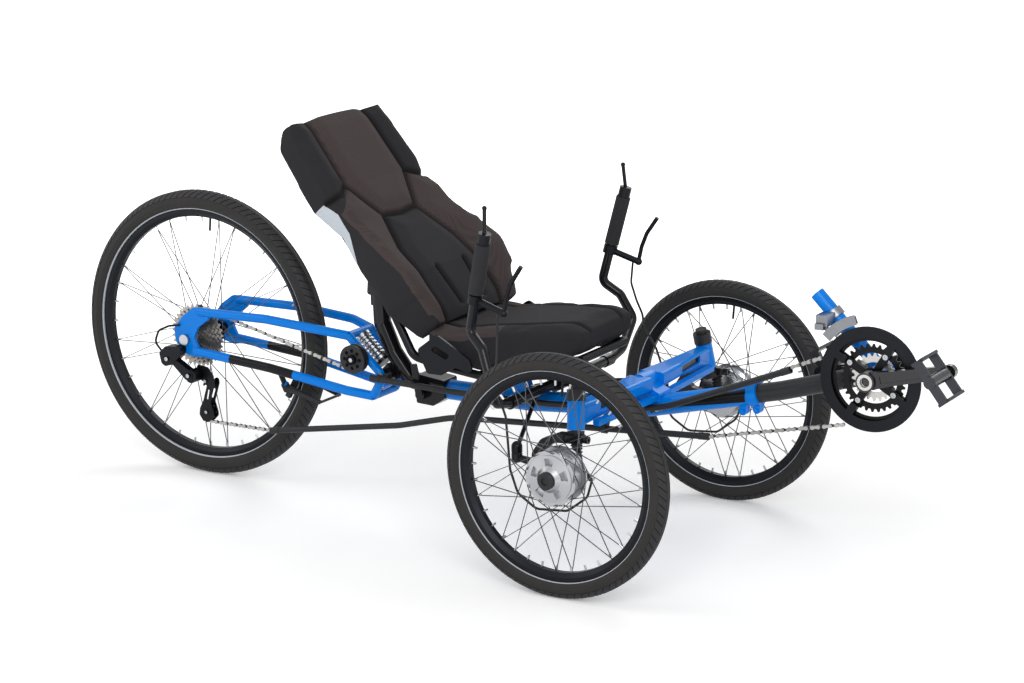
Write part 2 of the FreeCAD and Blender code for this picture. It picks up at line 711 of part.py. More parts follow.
def front_derailleur():
    hub = V(BB_X, 0, BB_Z)
    centre = hub + post_axis() * 146
    band = rod(centre - post_axis() * 8, centre + post_axis() * 8, POST_R + 4)
    band = band.cut(rod(centre - post_axis() * 8, centre + post_axis() * 8, POST_R))
    body = box((centre.x - 16, -54, centre.z - 14), (centre.x + 8, -POST_R - 3, centre.z + 8))
    arm = box((centre.x - 16, -60, centre.z - 20), (centre.x + 2, -40, centre.z - 8))
    cage_out = arc_plate(hub, -CHAINLINE - 12, 2.0, GUARD_R + 4, GUARD_R + 24, 108, 36)
    cage_in = arc_plate(hub, -CHAINLINE + 12, 2.0, GUARD_R + 4, GUARD_R + 20, 112, 30)
    tie = box((hub.x - 66, -CHAINLINE - 12, hub.z + 102), (hub.x - 60, -CHAINLINE + 12, hub.z + 108))
    link = rod(V(centre.x - 7, -46, centre.z - 12), V(centre.x + 14, -CHAINLINE + 12, centre.z - 30), 5.0)
    return fuse(band, body, arm, link, cage_out, cage_in, tie)


def spring_line():
    """Start, end and direction of the rear spring, from swingarm bridge to frame seat."""
    bridge = V(BRIDGE_X, 0, BRIDGE_Z)
    run = V(SWING_PIVOT_X, 0, SWING_PIVOT_Z) - bridge
    run.normalize()
    return bridge + run * (BRIDGE_R + FIT_GAP), bridge + run * SPRING_REACH, run


def rear_frame():
    """Curved black tube from the fold hinge up to the seat back, with the swingarm's yoke."""
    points = [V(HINGE_REAR_X, 0, 280), V(-566, 0, 280), V(-612, 0, 338), V(-640, 0, 400), V(-642, 0, 452)]
    curve = pipe(points, REAR_TUBE_R, 24.0)
    top = rod(V(-642, 0, 440), V(-642, 0, BRACKET_BRIDGE_Z - BRACKET_BRIDGE_R - FIT_GAP), REAR_TUBE_R + 4)
    yoke = rod(V(SWING_PIVOT_X, -YOKE_HALF, SWING_PIVOT_Z), V(SWING_PIVOT_X, YOKE_HALF, SWING_PIVOT_Z), 15.0)
    bore = rod(V(SWING_PIVOT_X, -YOKE_HALF, SWING_PIVOT_Z), V(SWING_PIVOT_X, YOKE_HALF, SWING_PIVOT_Z),
               SWING_BOLT_R)
    start, end, run = spring_line()
    seat = rod(end + run * FIT_GAP, end + run * 8, SPRING_R + 3)
    gusset = plate_y([(-636, 300), (-622, 314), (-592, 322), (-572, 290), (-613, 278)], 0, 26.0, 3.0)
    gusset = gusset.cut(rod(end - run * 40, end + run * FIT_GAP, SPRING_R + 5))
    return cut(fuse(curve, top, yoke, seat, gusset),
               bore)


def fold_hinge():
    """Hinge bracket under the seat with its quick-release lever."""
    body = plate_y([(HINGE_REAR_X, 240), (-498, 238), (MAIN_REAR_X, 256), (MAIN_REAR_X, 296),
                    (HINGE_REAR_X, 304)], 0, 52.0, 5.0)
    boss = rod(V(HINGE_X, -26, 262), V(HINGE_X, -42, 262), 11.0)
    handle = plate([V(-531, -37, 262), V(-513, -37, 262), V(-530, -37, 330), V(-542, -37, 328)], 3.0,
                   V(0, -7, 0))
    return fuse(body, boss, handle)


def seat_bracket():
    """Twin plates with holes that carry the seat back on the rear frame."""
    outline = [(-658, 465), (-624, 465), (-608, 560), (-605, 590), (-624, 614), (-640, 604), (-652, 540)]
    holes = [(-636, 492), (-631, 520), (-626, 548)]
    plates = []
    for side in SIDES.values():
        body = plate_y(outline, side * 28, 5.0, 6.0)
        for x, z in holes:
            body = body.cut(rod(V(x, side * 20, z), V(x, side * 40, z), 5.0))
        plates.append(body)
    bridge = rod(V(-640, -28, BRACKET_BRIDGE_Z), V(-640, 28, BRACKET_BRIDGE_Z), BRACKET_BRIDGE_R)
    cross = rod(V(SEAT_CROSS_X, -60, SEAT_CROSS_Z), V(SEAT_CROSS_X, 60, SEAT_CROSS_Z), SEAT_TUBE_R)
    return fuse(*plates, bridge).cut(cross)


def lower_stay(side):
    """The points of a lower stay, from the front bridge to the dropout."""
    return [V(-640, side * SWING_Y, 246), V(-700, side * 56, 254), V(-892, side * 70, 284),
            V(REAR_X + 24, side * 74, 300)]


def swingarm():
    """Blue lattice of stays with bridges and dropouts."""
    shapes = []
    for side in SIDES.values():
        upper = pipe([V(BRIDGE_X, side * SWING_Y, BRIDGE_Z), V(-760, side * 62, 382), V(-900, side * 68, 392),
                      V(REAR_X + 38, side * 72, 390)], 10.0, 60.0)
        lower = pipe(lower_stay(side), 10.0, 60.0)
        front = pipe([V(-640, side * SWING_Y, 246), V(SWING_PIVOT_X, side * SWING_Y, SWING_PIVOT_Z),
                      V(BRIDGE_X, side * SWING_Y, BRIDGE_Z)], SWING_R, 20.0)
        corners = [(66, 400), (24, 399), (-8, 376), (-32, 346), (-28, 318), (-4, 292), (24, 286),
                   (50, 290), (34, 306), (22, 330), (34, 354), (64, 376)]
        drop = plate_y([(REAR_X + x, z) for x, z in corners], side * (DROPOUT_HALF + DROPOUT_T / 2),
                       DROPOUT_T, 7.0)
        top, bottom = brake_boss(side)
        shapes += [upper, lower, front, drop, rod(top, bottom, BRAKE_BOSS_R)]
    shapes.append(rod(V(BRIDGE_X, -SWING_Y, BRIDGE_Z), V(BRIDGE_X, SWING_Y, BRIDGE_Z), BRIDGE_R))
    shapes.append(rod(V(-640, -SWING_Y, 246), V(-640, SWING_Y, 246), 9.0))
    body = fuse(*shapes)
    axle = rod(V(-WHEELBASE, -90, REAR_TYRE_R), V(-WHEELBASE, 90, REAR_TYRE_R), REAR_AXLE_R)
    bolt = rod(V(SWING_PIVOT_X, -60, SWING_PIVOT_Z), V(SWING_PIVOT_X, 60, SWING_PIVOT_Z), SWING_BOLT_R)
    yoke = rod(V(SWING_PIVOT_X, -YOKE_HALF, SWING_PIVOT_Z), V(SWING_PIVOT_X, YOKE_HALF, SWING_PIVOT_Z), 17.0)
    return cut(body, axle, bolt, yoke)


def brake_boss(side):
    """Top and foot of the rear brake's pivot stud under the lower stay."""
    top = tube_point(lower_stay(side), BRAKE_X)
    return top, V(BRAKE_X, side * 49.0, BRAKE_Z + 10)


def rear_brake():
    """Two brake arms beside the rear rim, each with its shoe, and the noodle across."""
    shapes = []
    for side in SIDES.values():
        top, foot = brake_boss(side)
        run = foot - top
        run.normalize()
        pivot = rod(foot + run * FIT_GAP, foot + run * 17, 9.0)
        shoe_y = side * (RIM_WIDTH / 2 + BRAKE_GAP)
        low, high = sorted((shoe_y, shoe_y + side * 10))
        shoe = box((BRAKE_X - 28, low, BRAKE_Z - 9), (BRAKE_X + 24, high, BRAKE_Z + 3))
        shoe.rotate(V(BRAKE_X, 0, BRAKE_Z), V(0, 1, 0), -60)
        stud = rod(V(BRAKE_X, shoe_y + side * 6, BRAKE_Z - 2), foot + run * 8, 5.0)
        arm = cone(foot + run * 10, V(BRAKE_END_X, side * BRAKE_END_Y, BRAKE_END_Z), 8.0, 5.0)
        shapes += [pivot, shoe, stud, arm]
    end = V(BRAKE_END_X, 0, BRAKE_END_Z)
    reach = V(0, BRAKE_END_Y + 4, 0)
    across = rod(end - reach, end + reach, 3.0)
    return fuse(across, *shapes)


def swing_bolt():
    centre = V(SWING_PIVOT_X, 0, SWING_PIVOT_Z)
    reach = SWING_Y + SWING_R
    head = rod(centre - V(0, reach, 0), centre - V(0, reach + 3, 0), 10.0)
    nut = rod(centre + V(0, reach, 0), centre + V(0, reach + 5, 0), 10.0)
    return fuse(rod(centre - V(0, reach, 0), centre + V(0, reach, 0), SWING_BOLT_R), head, nut)


def rear_axle():
    """Quick-release axle through hub and dropouts, with its end nuts."""
    outer = DROPOUT_HALF + DROPOUT_T
    centre = V(-WHEELBASE, 0, REAR_TYRE_R)
    axle = rod(centre - V(0, outer + 5, 0), centre + V(0, outer + 5, 0), REAR_AXLE_R)
    nuts = [rod(centre + V(0, side * outer, 0), centre + V(0, side * (outer + 9), 0), 12.0)
            for side in SIDES.values()]
    return fuse(axle, *nuts)


def rear_spring():
    """Coil spring between its two caps, round a damper body."""
    start, end, run = spring_line()
    length = (end - start).Length
    pitch = (length - 2 * SPRING_CAP) / SPRING_TURNS
    section = [(0, 0), (0, SPRING_R), (SPRING_CAP, SPRING_R), (SPRING_CAP, SPRING_CORE_R)]
    for turn in range(SPRING_TURNS):
        low = SPRING_CAP + pitch * turn
        section += [(low + pitch * 0.2, SPRING_CORE_R), (low + pitch * 0.35, SPRING_R - 1),
                    (low + pitch * 0.65, SPRING_R - 1), (low + pitch * 0.8, SPRING_CORE_R)]
    section += [(length - SPRING_CAP, SPRING_CORE_R), (length - SPRING_CAP, SPRING_R),
                (length, SPRING_R), (length, 0)]
    side = V(0, 1, 0)
    points = [start + run * along + side * radius for along, radius in section]
    face = Part.Face(Part.makePolygon(points + [points[0]]))
    return face.revolve(start, run, 360)


def make_frame():
    save("main_frame", main_frame())
    tube, shell = boom()
    save("boom", tube)
    post, centre = derailleur_post()
    shell_bore = rod(V(BB_X, -BB_SHELL_HALF, BB_Z), V(BB_X, BB_SHELL_HALF, BB_Z), SPINDLE_R + 0.5)
    post_clear = post.cut(tube)
    save("derailleur_post", fuse(shell, post_clear).cut(shell_bore))
    save("front_derailleur", front_derailleur())
    save("rear_frame", rear_frame())
    save("fold_hinge", fold_hinge())
    save("seat_bracket", seat_bracket())
    save("swingarm", swingarm())
    save("axle_bolts", [swing_bolt(), rear_axle(), idler_bolt()])
    save("rear_spring", rear_spring())
    save("rear_brake", rear_brake())


# Steering

def steer_axis():
    lean = math.radians(STEER_LEAN)
    return V(-math.sin(lean), 0, math.cos(lean))


def rod_axis(side):
    """The line that a tie rod swings about at its inner ball."""
    lean = math.radians(ROD_AXIS_BACK)
    tip = math.radians(ROD_AXIS_OUT)
    return V(-math.sin(lean), -side * math.cos(lean) * math.sin(tip), math.cos(lean) * math.cos(tip))


def steering_stem():
    """Hub on the frame's pin, a forged arm back to the bar clamp, and two ball lugs."""
    centre = V(STEER_X, 0, STEER_Z)
    axis = steer_axis()
    hub = rod(centre, centre + axis * STEER_HUB_H, STEER_HUB_R)
    arm = plate([V(STEER_X - 8, -20, CROSS_Z - 4), V(STEER_X - 8, 20, CROSS_Z - 4),
                 V(CROSS_X, 28, CROSS_Z - 4), V(CROSS_X, -28, CROSS_Z - 4)], 3.0, V(0, 0, 14))
    clamp = rod(V(CROSS_X, -32, CROSS_Z), V(CROSS_X, 32, CROSS_Z), BAR_R + 6)
    shapes = [hub, arm, clamp]
    for side in SIDES.values():
        swing = rod_axis(side)
        ball_centre = V(INNER_BALL_X, side * INNER_BALL_Y, INNER_BALL_Z)
        low = ball_centre + swing * (ROD_END_HALF + FIT_GAP)
        pad = rod(low, low + swing * LUG_T, ROD_END_R)
        root = V(CROSS_X - 8, side * 24, low.z + 5)
        run = low - root
        across = V(-run.y, run.x, 0)
        across.normalize()
        corners = [root + across * 11, low + across * 9, low - across * 9, root - across * 11]
        corners = [V(point.x, point.y, low.z + LUG_LIFT) for point in corners]
        web = Part.Face(Part.makePolygon(corners + [corners[0]])).extrude(V(0, 0, LUG_T - LUG_LIFT))
        bolt = rod(ball_centre - swing * ROD_END_HALF, low + swing * 1, ROD_PIN_R)
        shapes += [pad, web, bolt]
    stem = fuse(*shapes)
    bore = rod(centre - axis * 5, centre + axis * (STEER_HUB_H + 5), STEER_PIN_R + SHAFT_GAP)
    bar = rod(V(CROSS_X, -CROSS_HALF, CROSS_Z), V(CROSS_X, CROSS_HALF, CROSS_Z), BAR_R)
    return cut(stem, bore, bar)


def cross_bar():
    """Straight tube under the seat with an elbow clamp at each end."""
    half = CROSS_HALF - 14
    shapes = [rod(V(CROSS_X, -half, CROSS_Z), V(CROSS_X, half, CROSS_Z), BAR_R)]
    for side in SIDES.values():
        shapes.append(rod(V(CROSS_X, side * (half - 30), CROSS_Z), V(CROSS_X, side * half, CROSS_Z),
                          BAR_R + 2))
    return fuse(*shapes)


def upright(side, z):
    """The point on the straight upright of a side bar at height z."""
    share = (z - KNEE_Z) / (BAR_TOP_Z - KNEE_Z)
    return V(KNEE_X + (BAR_TOP_X - KNEE_X) * share,
             side * (KNEE_Y + (BAR_TOP_Y - KNEE_Y) * share), z)


def upright_dir(side):
    run = upright(side, BAR_TOP_Z) - upright(side, KNEE_Z)
    run.normalize()
    return run


def side_bar(side):
    """Bent side tube from the cross bar's end up to the grip."""
    points = [V(CROSS_X, side * (CROSS_HALF - 13.5), CROSS_Z), V(-198, side * 262, 336),
              V(-190, side * 297, 398), V(-214, side * 284, 450), upright(side, KNEE_Z),
              upright(side, BAR_TOP_Z)]
    return pipe(points, UPRIGHT_R, 20.0).cut(cross_bar())


def grip(side):
    low = upright(side, GRIP_LOW_Z)
    high = upright(side, GRIP_HIGH_Z)
    run = upright_dir(side)
    return rod(low, high, GRIP_R).cut(rod(low - run * 5, high + run * 5, UPRIGHT_R))


def brake_lever(side):
    """Clamp below the grip, bracket, and the curved lever blade."""
    run = upright_dir(side)
    middle = upright(side, GRIP_LOW_Z - 12)
    clamp = rod(middle - run * 9, middle + run * 9, UPRIGHT_R + 5)
    tube = rod(middle - run * 40, middle + run * 40, UPRIGHT_R)
    pivot = V(-167, side * 279, 527)
    body = rod(middle + V(8, 0, -4), pivot, 7.0)
    blade = pipe([pivot, V(-160, side * 280, 560), V(-148, side * 281, 590), V(-124, side * 283, 625)],
                 4.5, 20.0)
    return fuse(clamp, body, ball(pivot, 8.0), blade).cut(tube)


def shifter(side):
    """Bar end shifter: its pod on the grip's top and the lever."""
    run = upright_dir(side)
    low = upright(side, GRIP_HIGH_Z) + run * FIT_GAP
    pod = rod(low, low + run * 22, 13.0)
    tube = rod(low - run * 10, upright(side, BAR_TOP_Z), UPRIGHT_R)
    tip = V(-206, side * 282, 733)
    lever = rod(low + run * 18, tip, 4.0)
    return fuse(pod, lever, ball(tip, 5.0)).cut(tube)


def tie_rod(side):
    inner = V(INNER_BALL_X, side * INNER_BALL_Y, INNER_BALL_Z)
    outer = V(OUTER_BALL_X, side * OUTER_BALL_Y, OUTER_BALL_Z)
    run = outer - inner
    run.normalize()
    shaft = rod(inner + run * 4 - V(0, 0, ROD_DROP), outer - run * 4, ROD_R)
    swing = rod_axis(side)
    eye = rod(inner - swing * ROD_END_HALF, inner + swing * ROD_END_HALF, ROD_END_R)
    cup = rod(outer - V(0, 0, ROD_END_HALF), outer + V(0, 0, ROD_END_HALF), ROD_END_R)
    cap = ball(outer + V(0, 0, ROD_END_HALF - 1), ROD_END_R)
    pin = rod(inner - swing * ROD_END_R, inner + swing * ROD_END_R, ROD_PIN_R + SHAFT_GAP)
    return fuse(shaft, eye, cup, cap).cut(pin)


def brake_cable(side):
    """Front brake cable: from beside the steering bar down round the hub to the drum's lever."""
    y = side * (FORGING_Y + CABLE_OUT)
    end_y = side * (TRACK / 2 - FRONT_HUB_HALF - 8 - RUN_GAP - 9 + 2)
    hub = FRONT_TYRE_R
    return pipe([V(-171, side * 308, 386), V(-160, side * 310, 362), V(-143, side * 316, 330),
                 V(-134, y, 290), V(-129, y, hub - 16), V(-112, y, hub - 62), V(-70, y, hub - 88),
                 V(0, y, hub - 82), V(44, y, hub - 48), V(CABLE_END_X, end_y, CABLE_END_Z - 5.6)],
                CABLE_R, 26.0)


def bar_cable(side):
    """Upper part of the front brake cable, from the lever's bracket down along the side bar."""
    return pipe([V(-181, side * 279, 523), V(-184, side * 277, 480), V(-178, side * 290, 440),
                 V(-172, side * 306, 406), V(-171, side * 308, 390)], CABLE_R, 30.0)


def make_steering():
    save("steering_stem", steering_stem())
    save("cross_bar", cross_bar())
    for name, side in SIDES.items():
        save("tie_rod_" + name, tie_rod(side))
    save("side_bars", [side_bar(side) for side in SIDES.values()])
    save("grips", [grip(side) for side in SIDES.values()])
    save("brake_levers", [brake_lever(side) for side in SIDES.values()])
    save("bar_cables", [bar_cable(side) for side in SIDES.values()])
    for name, side in SIDES.items():
        save("brake_cable_" + name, brake_cable(side))
    save("shifters", [shifter(side) for side in SIDES.values()])


# Cranks and drive

def crank_centre(side):
    """Centre of the crank arm's pedal eye; the right arm points forward."""
    turn = math.radians(CRANK_RISE)
    reach = CRANK_LENGTH if side < 0 else -CRANK_LENGTH
    return V(BB_X + reach * math.cos(turn), side * CRANK_HALF_TREAD, BB_Z + reach * math.sin(turn))


def crank_arm(hub, eye, side):
    """Tapered arm with a long shallow recess along its outer face."""
    wires = []
    for centre, radius in ((hub, 17.5), (hub + (eye - hub) * 0.3, 14.0), (eye, 12.0)):
        wires.append((centre, radius))
    along = eye - hub
    along.normalize()
    up = V(-along.z, 0, along.x)
    up.normalize()
    parts = []
    for (start, start_r), (end, end_r) in zip(wires, wires[1:]):
        corners = [start + up * start_r, end + up * end_r, end - up * end_r, start - up * start_r]
        parts.append(Part.Face(Part.makePolygon(corners + [corners[0]])).extrude(V(0, side * 14, 0)))
    start, end = hub + along * 30, eye - along * 26
    outer = V(0, side * 12.5, 0)
    corners = [start + up * 7 + outer, end + up * 5.5 + outer, end - up * 5.5 + outer, start - up * 7 + outer]
    recess = Part.Face(Part.makePolygon(corners + [corners[0]])).extrude(V(0, side * 12, 0))
    return fuse(*parts).cut(recess)


def crank_arms():
    shapes = []
    for side in SIDES.values():
        eye = crank_centre(side)
        hub = V(BB_X, side * 78.0, BB_Z)
        boss = rod(V(BB_X, side * 66, BB_Z), V(BB_X, side * 92, BB_Z), 19.0)
        arm = crank_arm(hub - V(0, side * 6, 0), eye - V(0, side * 14, 0), side)
        pad = rod(eye - V(0, side * 14, 0), eye, 14.0)
        shapes += [boss, arm, pad]
    spindle = rod(V(BB_X, -70, BB_Z), V(BB_X, 70, BB_Z), SPINDLE_R)
    arms = fuse(spindle, *shapes)
    for side in SIDES.values():
        eye = crank_centre(side)
        arms = arms.cut(rod(eye - V(0, side * 20, 0), eye + V(0, side * 20, 0), 7.0))
        arms = arms.cut(rod(V(BB_X, side * 84, BB_Z), V(BB_X, side * 93, BB_Z), SPINDLE_R - 2))
    return arms


def ring_radius(teeth):
    """Pitch radius of a chain wheel."""
    return CHAIN_PITCH / (2 * math.sin(math.pi / teeth))


def chainrings():
    """Three toothed rings on a four-armed spider."""
    centre = V(BB_X, 0, BB_Z)
    rings = []
    for index, teeth in enumerate(RING_TEETH):
        y = -CHAINLINE + RING_PITCH * (index - 1)
        rings.append(sprocket(centre, y, teeth, RING_T, ring_radius(teeth) - RING_DEPTH))
    outer = ring_radius(RING_TEETH[0]) - RING_DEPTH + 6
    arm = box((BB_X - SPIDER_ARM_HALF, SPIDER_FACE_Y, BB_Z + 14),
              (BB_X + SPIDER_ARM_HALF, -CHAINLINE + RING_PITCH, BB_Z + ring_radius(RING_TEETH[2]) - 8))
    reach = box((BB_X - SPIDER_ARM_HALF, SPIDER_FACE_Y, BB_Z + 14),
                (BB_X + SPIDER_ARM_HALF, -CHAINLINE, BB_Z + outer))
    hub = rod(V(BB_X, -CHAINLINE - 9, BB_Z), V(BB_X, -CHAINLINE + 6, BB_Z), 22.0)
    arms = pattern_y(around_y(fuse(arm, reach), centre, SPIDER_TURN), centre, 4)
    body = fuse(hub, *rings, *arms)
    return body.cut(rod(V(BB_X, -90, BB_Z), V(BB_X, 0, BB_Z), SPINDLE_R + 0.02))


def chain_guard():
    """Ring outside the large chainring, on four tabs with pads on the spider."""
    centre = V(BB_X, 0, BB_Z)
    start = centre + V(0, GUARD_Y, 0)
    ring = Part.makeCylinder(GUARD_R, GUARD_T, start, V(0, 1, 0))
    ring = ring.cut(Part.makeCylinder(GUARD_R - GUARD_WIDTH, GUARD_T, start, V(0, 1, 0)))
    tab = box((BB_X - 8, GUARD_Y, BB_Z + GUARD_PAD_R - 7),
              (BB_X + 8, GUARD_Y + GUARD_T, BB_Z + GUARD_R - GUARD_WIDTH + 4))
    pad = rod(V(BB_X, GUARD_Y + GUARD_T, BB_Z + GUARD_PAD_R),
              V(BB_X, SPIDER_FACE_Y - FIT_GAP, BB_Z + GUARD_PAD_R), 5.0)
    return fuse(ring, *pattern_y(around_y(fuse(tab, pad), centre, SPIDER_TURN), centre, 4))


def pedal(side):
    eye = crank_centre(side)
    centre = V(eye.x, side * PEDAL_CENTRE, eye.z)
    axle_start = eye - V(0, side * 14, 0)
    axle = rod(axle_start, centre + V(0, side * 42, 0), 6.5)
    core = rod(centre - V(0, side * 34, 0), centre + V(0, side * 42, 0), 12.0)
    half = PEDAL_LENGTH / 2
    wide = PEDAL_WIDTH / 2
    plates = []
    for sign in (-1, 1):
        front = box((centre.x + sign * half - 3, centre.y - wide, centre.z - PEDAL_HEIGHT / 2),
                    (centre.x + sign * half + 3, centre.y + wide, centre.z + PEDAL_HEIGHT / 2))
        rail = box((centre.x - half, centre.y + sign * wide - 3, centre.z - 9),
                   (centre.x + half, centre.y + sign * wide + 3, centre.z + 9))
        plates += [front, rail]
    body = fuse(core, *plates)
    body.rotate(centre, V(0, 1, 0), PEDAL_TILT)
    return fuse(axle, body)


def idler():
    centre = V(IDLER_X, -IDLER_Y, IDLER_Z)
    profile = [(-9, 8), (-9, IDLER_R), (-4, IDLER_R), (-4, IDLER_R - 4), (4, IDLER_R - 4), (4, IDLER_R),
               (9, IDLER_R), (9, 8)]
    hole = rod(centre + V(0, -10, IDLER_HOLE_AT), centre + V(0, 10, IDLER_HOLE_AT), IDLER_HOLE_R)
    return cut(turned(profile, centre), *pattern_y(hole, centre, IDLER_HOLES))


def idler_bolt():
    centre = V(IDLER_X, -IDLER_Y, IDLER_Z)
    bolt = rod(centre + V(0, 24, 0), centre - V(0, 12, 0), 7.6)
    head = rod(centre - V(0, 10, 0), centre - V(0, 15, 0), 11.0)
    return fuse(bolt, head).cut(swingarm())


def make_drive():
    save("crank_arms", crank_arms())
    save("chainrings", chainrings())
    save("chain_guard", chain_guard())
    for name, side in SIDES.items():
        save("pedal_" + name, pedal(side))
    save("idler_wheel", idler())
    save("chain_tubes", chain_tubes())
    save("rear_derailleur", rear_derailleur())
    save("chain", chain())


def tube_point(route, x):
    """The place at x on a route of straight runs."""
    ends = sorted(route, key=lambda point: point.x)
    for start, end in zip(ends, ends[1:]):
        if start.x <= x <= end.x:
            return start + (end - start) * ((x - start.x) / (end.x - start.x))
    return ends[-1]


def main_tube_point(x):
    """The main tube's middle at x, behind its front bend."""
    share = (x - MAIN_MID_X) / (MAIN_FRONT_X - MAIN_MID_X)
    return V(x, 0, MAIN_MID_Z + (MAIN_FRONT_Z - MAIN_MID_Z) * share)


def tube_clip():
    """Bracket round the main tube, with an arm down to both chain tubes."""
    upper = tube_point(UPPER_TUBE, CLIP_X)
    lower = tube_point(LOWER_TUBE, CLIP_X)
    middle = main_tube_point(CLIP_X)
    half = V(CLIP_T / 2, 0, 0)
    along = main_tube_point(0) - middle
    along.normalize()
    band = rod(middle - along * half.x, middle + along * half.x, MAIN_TUBE_R + FIT_GAP + CLIP_WALL)
    shapes = [band]
    for hole in (upper, lower):
        shapes.append(rod(hole - half, hole + half, CHAIN_TUBE_R + CLIP_WALL))
    for start, end in ((middle, upper), (upper, lower)):
        run = end - start
        side = V(0, -run.z, run.y)
        side.normalize()
        corners = [start + side * 6, end + side * 6, end - side * 6, start - side * 6]
        web = Part.Face(Part.makePolygon(corners + [corners[0]])).extrude(V(CLIP_T, 0, 0))
        web.translate(V(-CLIP_T / 2, 0, 0))
        shapes.append(web)
    return fuse(*shapes).cut(rod(middle - along * CLIP_T, middle + along * CLIP_T, MAIN_TUBE_R + FIT_GAP))


def chain_tubes():
    """Two tubes that guide the chain, with wider mouths, in one clip on the main tube."""
    tubes = []
    bores = []
    for route in (UPPER_TUBE, LOWER_TUBE):
        tubes.append(pipe(route, CHAIN_TUBE_R, 300.0))
        for end, nearer in ((route[0], route[1]), (route[-1], route[-2])):
            run = nearer - end
            run.normalize()
            tubes.append(rod(end, end + run * TUBE_MOUTH * 1.6, CHAIN_TUBE_R + 0.8))
            bores.append(rod(end, end + run * TUBE_MOUTH, TUBE_BORE_R))
    return cut(fuse(*tubes, tube_clip()), *bores)


def chain_run(start, end):
    """Links from start to end: narrow inner and wide outer ones in turn, in one solid."""
    run = end - start
    count = int(run.Length / CHAIN_PITCH)
    step = run * (CHAIN_PITCH / run.Length)
    along = V(run)
    along.normalize()
    links = []
    for index in range(count):
        half = CHAIN_OUTER_HALF if index % 2 else CHAIN_INNER_HALF
        lap = CHAIN_LAP if index % 2 else -CHAIN_LAP
        low = start + step * index - along * lap
        high = start + step * (index + 1) + along * lap
        across = V(along.y, -along.x, 0)
        across.normalize()
        up = across.cross(along)
        up = up if up.z > 0 else up * -1
        tall = CHAIN_TALL / 2 if index % 2 else CHAIN_TALL / 2 - 0.5
        corners = [low + across * (a * half) + up * (b * tall)
                   for a, b in ((-1, -1), (1, -1), (1, 1), (-1, 1))]
        links.append(Part.Face(Part.makePolygon(corners + [corners[0]])).extrude(high - low))
    return fuse(*links)


def chain():
    """The four runs in view: each end lies in a tube's mouth or beside its chain wheel."""
    runs = [(UPPER_TUBE[-1], V(424, -55, 462)), (LOWER_TUBE[0], V(448, -50, 326)),
            (LOWER_TUBE[-1], V(JOCKEY_X, CAGE_Y, LOWER_TUBE[-1].z)),
            (V(-692, -66, 306), V(REAR_X + 31, -50, 396))]
    solids = []
    for index, (start, end) in enumerate(runs):
        run = end - start
        run.normalize()
        inside = TUBE_MOUTH - 2 if index < 3 else 0
        solids.append(chain_run(start - run * inside, end))
    return solids


def jockey(z, teeth):
    """Toothed guide wheel between the cage plates, on its bolt."""
    centre = V(JOCKEY_X, 0, z)
    wheel = sprocket(centre, CAGE_Y, teeth, 3.0, 4.0)
    bolt = rod(V(JOCKEY_X, CAGE_Y - CAGE_HALF - 3, z), V(JOCKEY_X, CAGE_Y + CAGE_HALF + 3, z), 5.0)
    return fuse(wheel, bolt)


def rear_derailleur():
    """Hanger knuckle, two parallel links, lower knuckle, and the cage with two jockey wheels."""
    y = -(DROPOUT_HALF + DROPOUT_T + FIT_GAP)
    link_x = REAR_X + LINK_FRONT
    hanger = rod(V(REAR_X - 11, y, 301), V(REAR_X - 11, y - 16, 301), 11.0)
    corners = [(4, 312), (-42, 308), (-60, 292), (-54, 268), (-44, 262), (-24, 268), (-2, 290)]
    upper = plate_y([(REAR_X + x, z) for x, z in corners], y - 12, 20.0, 8.0)
    links = []
    for across in (-7.0, 7.0):
        corners = [(-46, 288), (-30, 288), (LINK_FRONT + 8, 254), (LINK_FRONT + 4, 236),
                   (LINK_FRONT - 14, 238)]
        links.append(plate_y([(REAR_X + x, z) for x, z in corners], y - 12 + across, 4.0, 6.0))
    pins = [rod(V(REAR_X + x, y - 24, z), V(REAR_X + x, y, z), 5.0)
            for x, z in ((-38, 280), (LINK_FRONT - 4, 248))]
    lower = rod(V(link_x, y - 20, 246), V(link_x, CAGE_Y - CAGE_HALF, 246), 15.0)
    low_z = LOWER_TUBE[-1].z + CHAIN_TALL / 2 + FIT_GAP + sprocket_rim(JOCKEY_TEETH)
    curve = [(22, 268), (52, 264), (66, 246), (68, 226), (54, 184), (62, 160), (62, low_z - 10),
             (50, low_z - 22), (34, low_z - 22), (24, low_z - 8), (26, 168), (36, 186), (48, 224), (20, 240)]
    cages = []
    for across in (-CAGE_HALF, CAGE_HALF):
        outline = [(REAR_X + x, z) for x, z in (curve if across < 0 else curve[2:12] + [(44, 222)])]
        plate_solid = plate_y(outline, CAGE_Y + across, 3.0, 6.0)
        window = plate_y([(REAR_X + x, z) for x, z in ((50, 214), (58, 212), (50, 190), (44, 190))],
                         CAGE_Y + across, 5.0, 2.0)
        cages.append(plate_solid.cut(window))
    cable = pipe([V(REAR_X - 56, y - 12, 290), V(REAR_X - 78, y - 12, 312), V(REAR_X - 66, y - 12, 340),
                  V(REAR_X - 40, y - 8, 352), V(REAR_X - 14, y - CABLE_R, 356)], CABLE_R, 16.0)
    return fuse(hanger, upper, *links, *pins, lower, *cages, jockey(232, JOCKEY_TEETH),
                jockey(low_z, JOCKEY_TEETH), cable)


# Seat

def loft(sections, ruled=False):
    return Part.makeLoft(sections, True, ruled)


def base_cushion():
    """Padded seat base; stations are (x, top z, bottom z, half width)."""
    stations = [(-436, 432, 388, 160), (-400, 436, 379, 176), (BASE_UNDER_X, 452, BASE_UNDER_Z, 172),
                (-200, 464, 388, 152), (-110, 472, 408, 130), (-80, 466, 422, 114)]
    wires = []
    for x, top, bottom, half in stations:
        corners = [V(x, -half, bottom), V(x, half, bottom), V(x, half, top), V(x, -half, top)]
        wires.append(rounded_path(corners, BASE_CORNER, closed=True))
    return loft(wires, True)


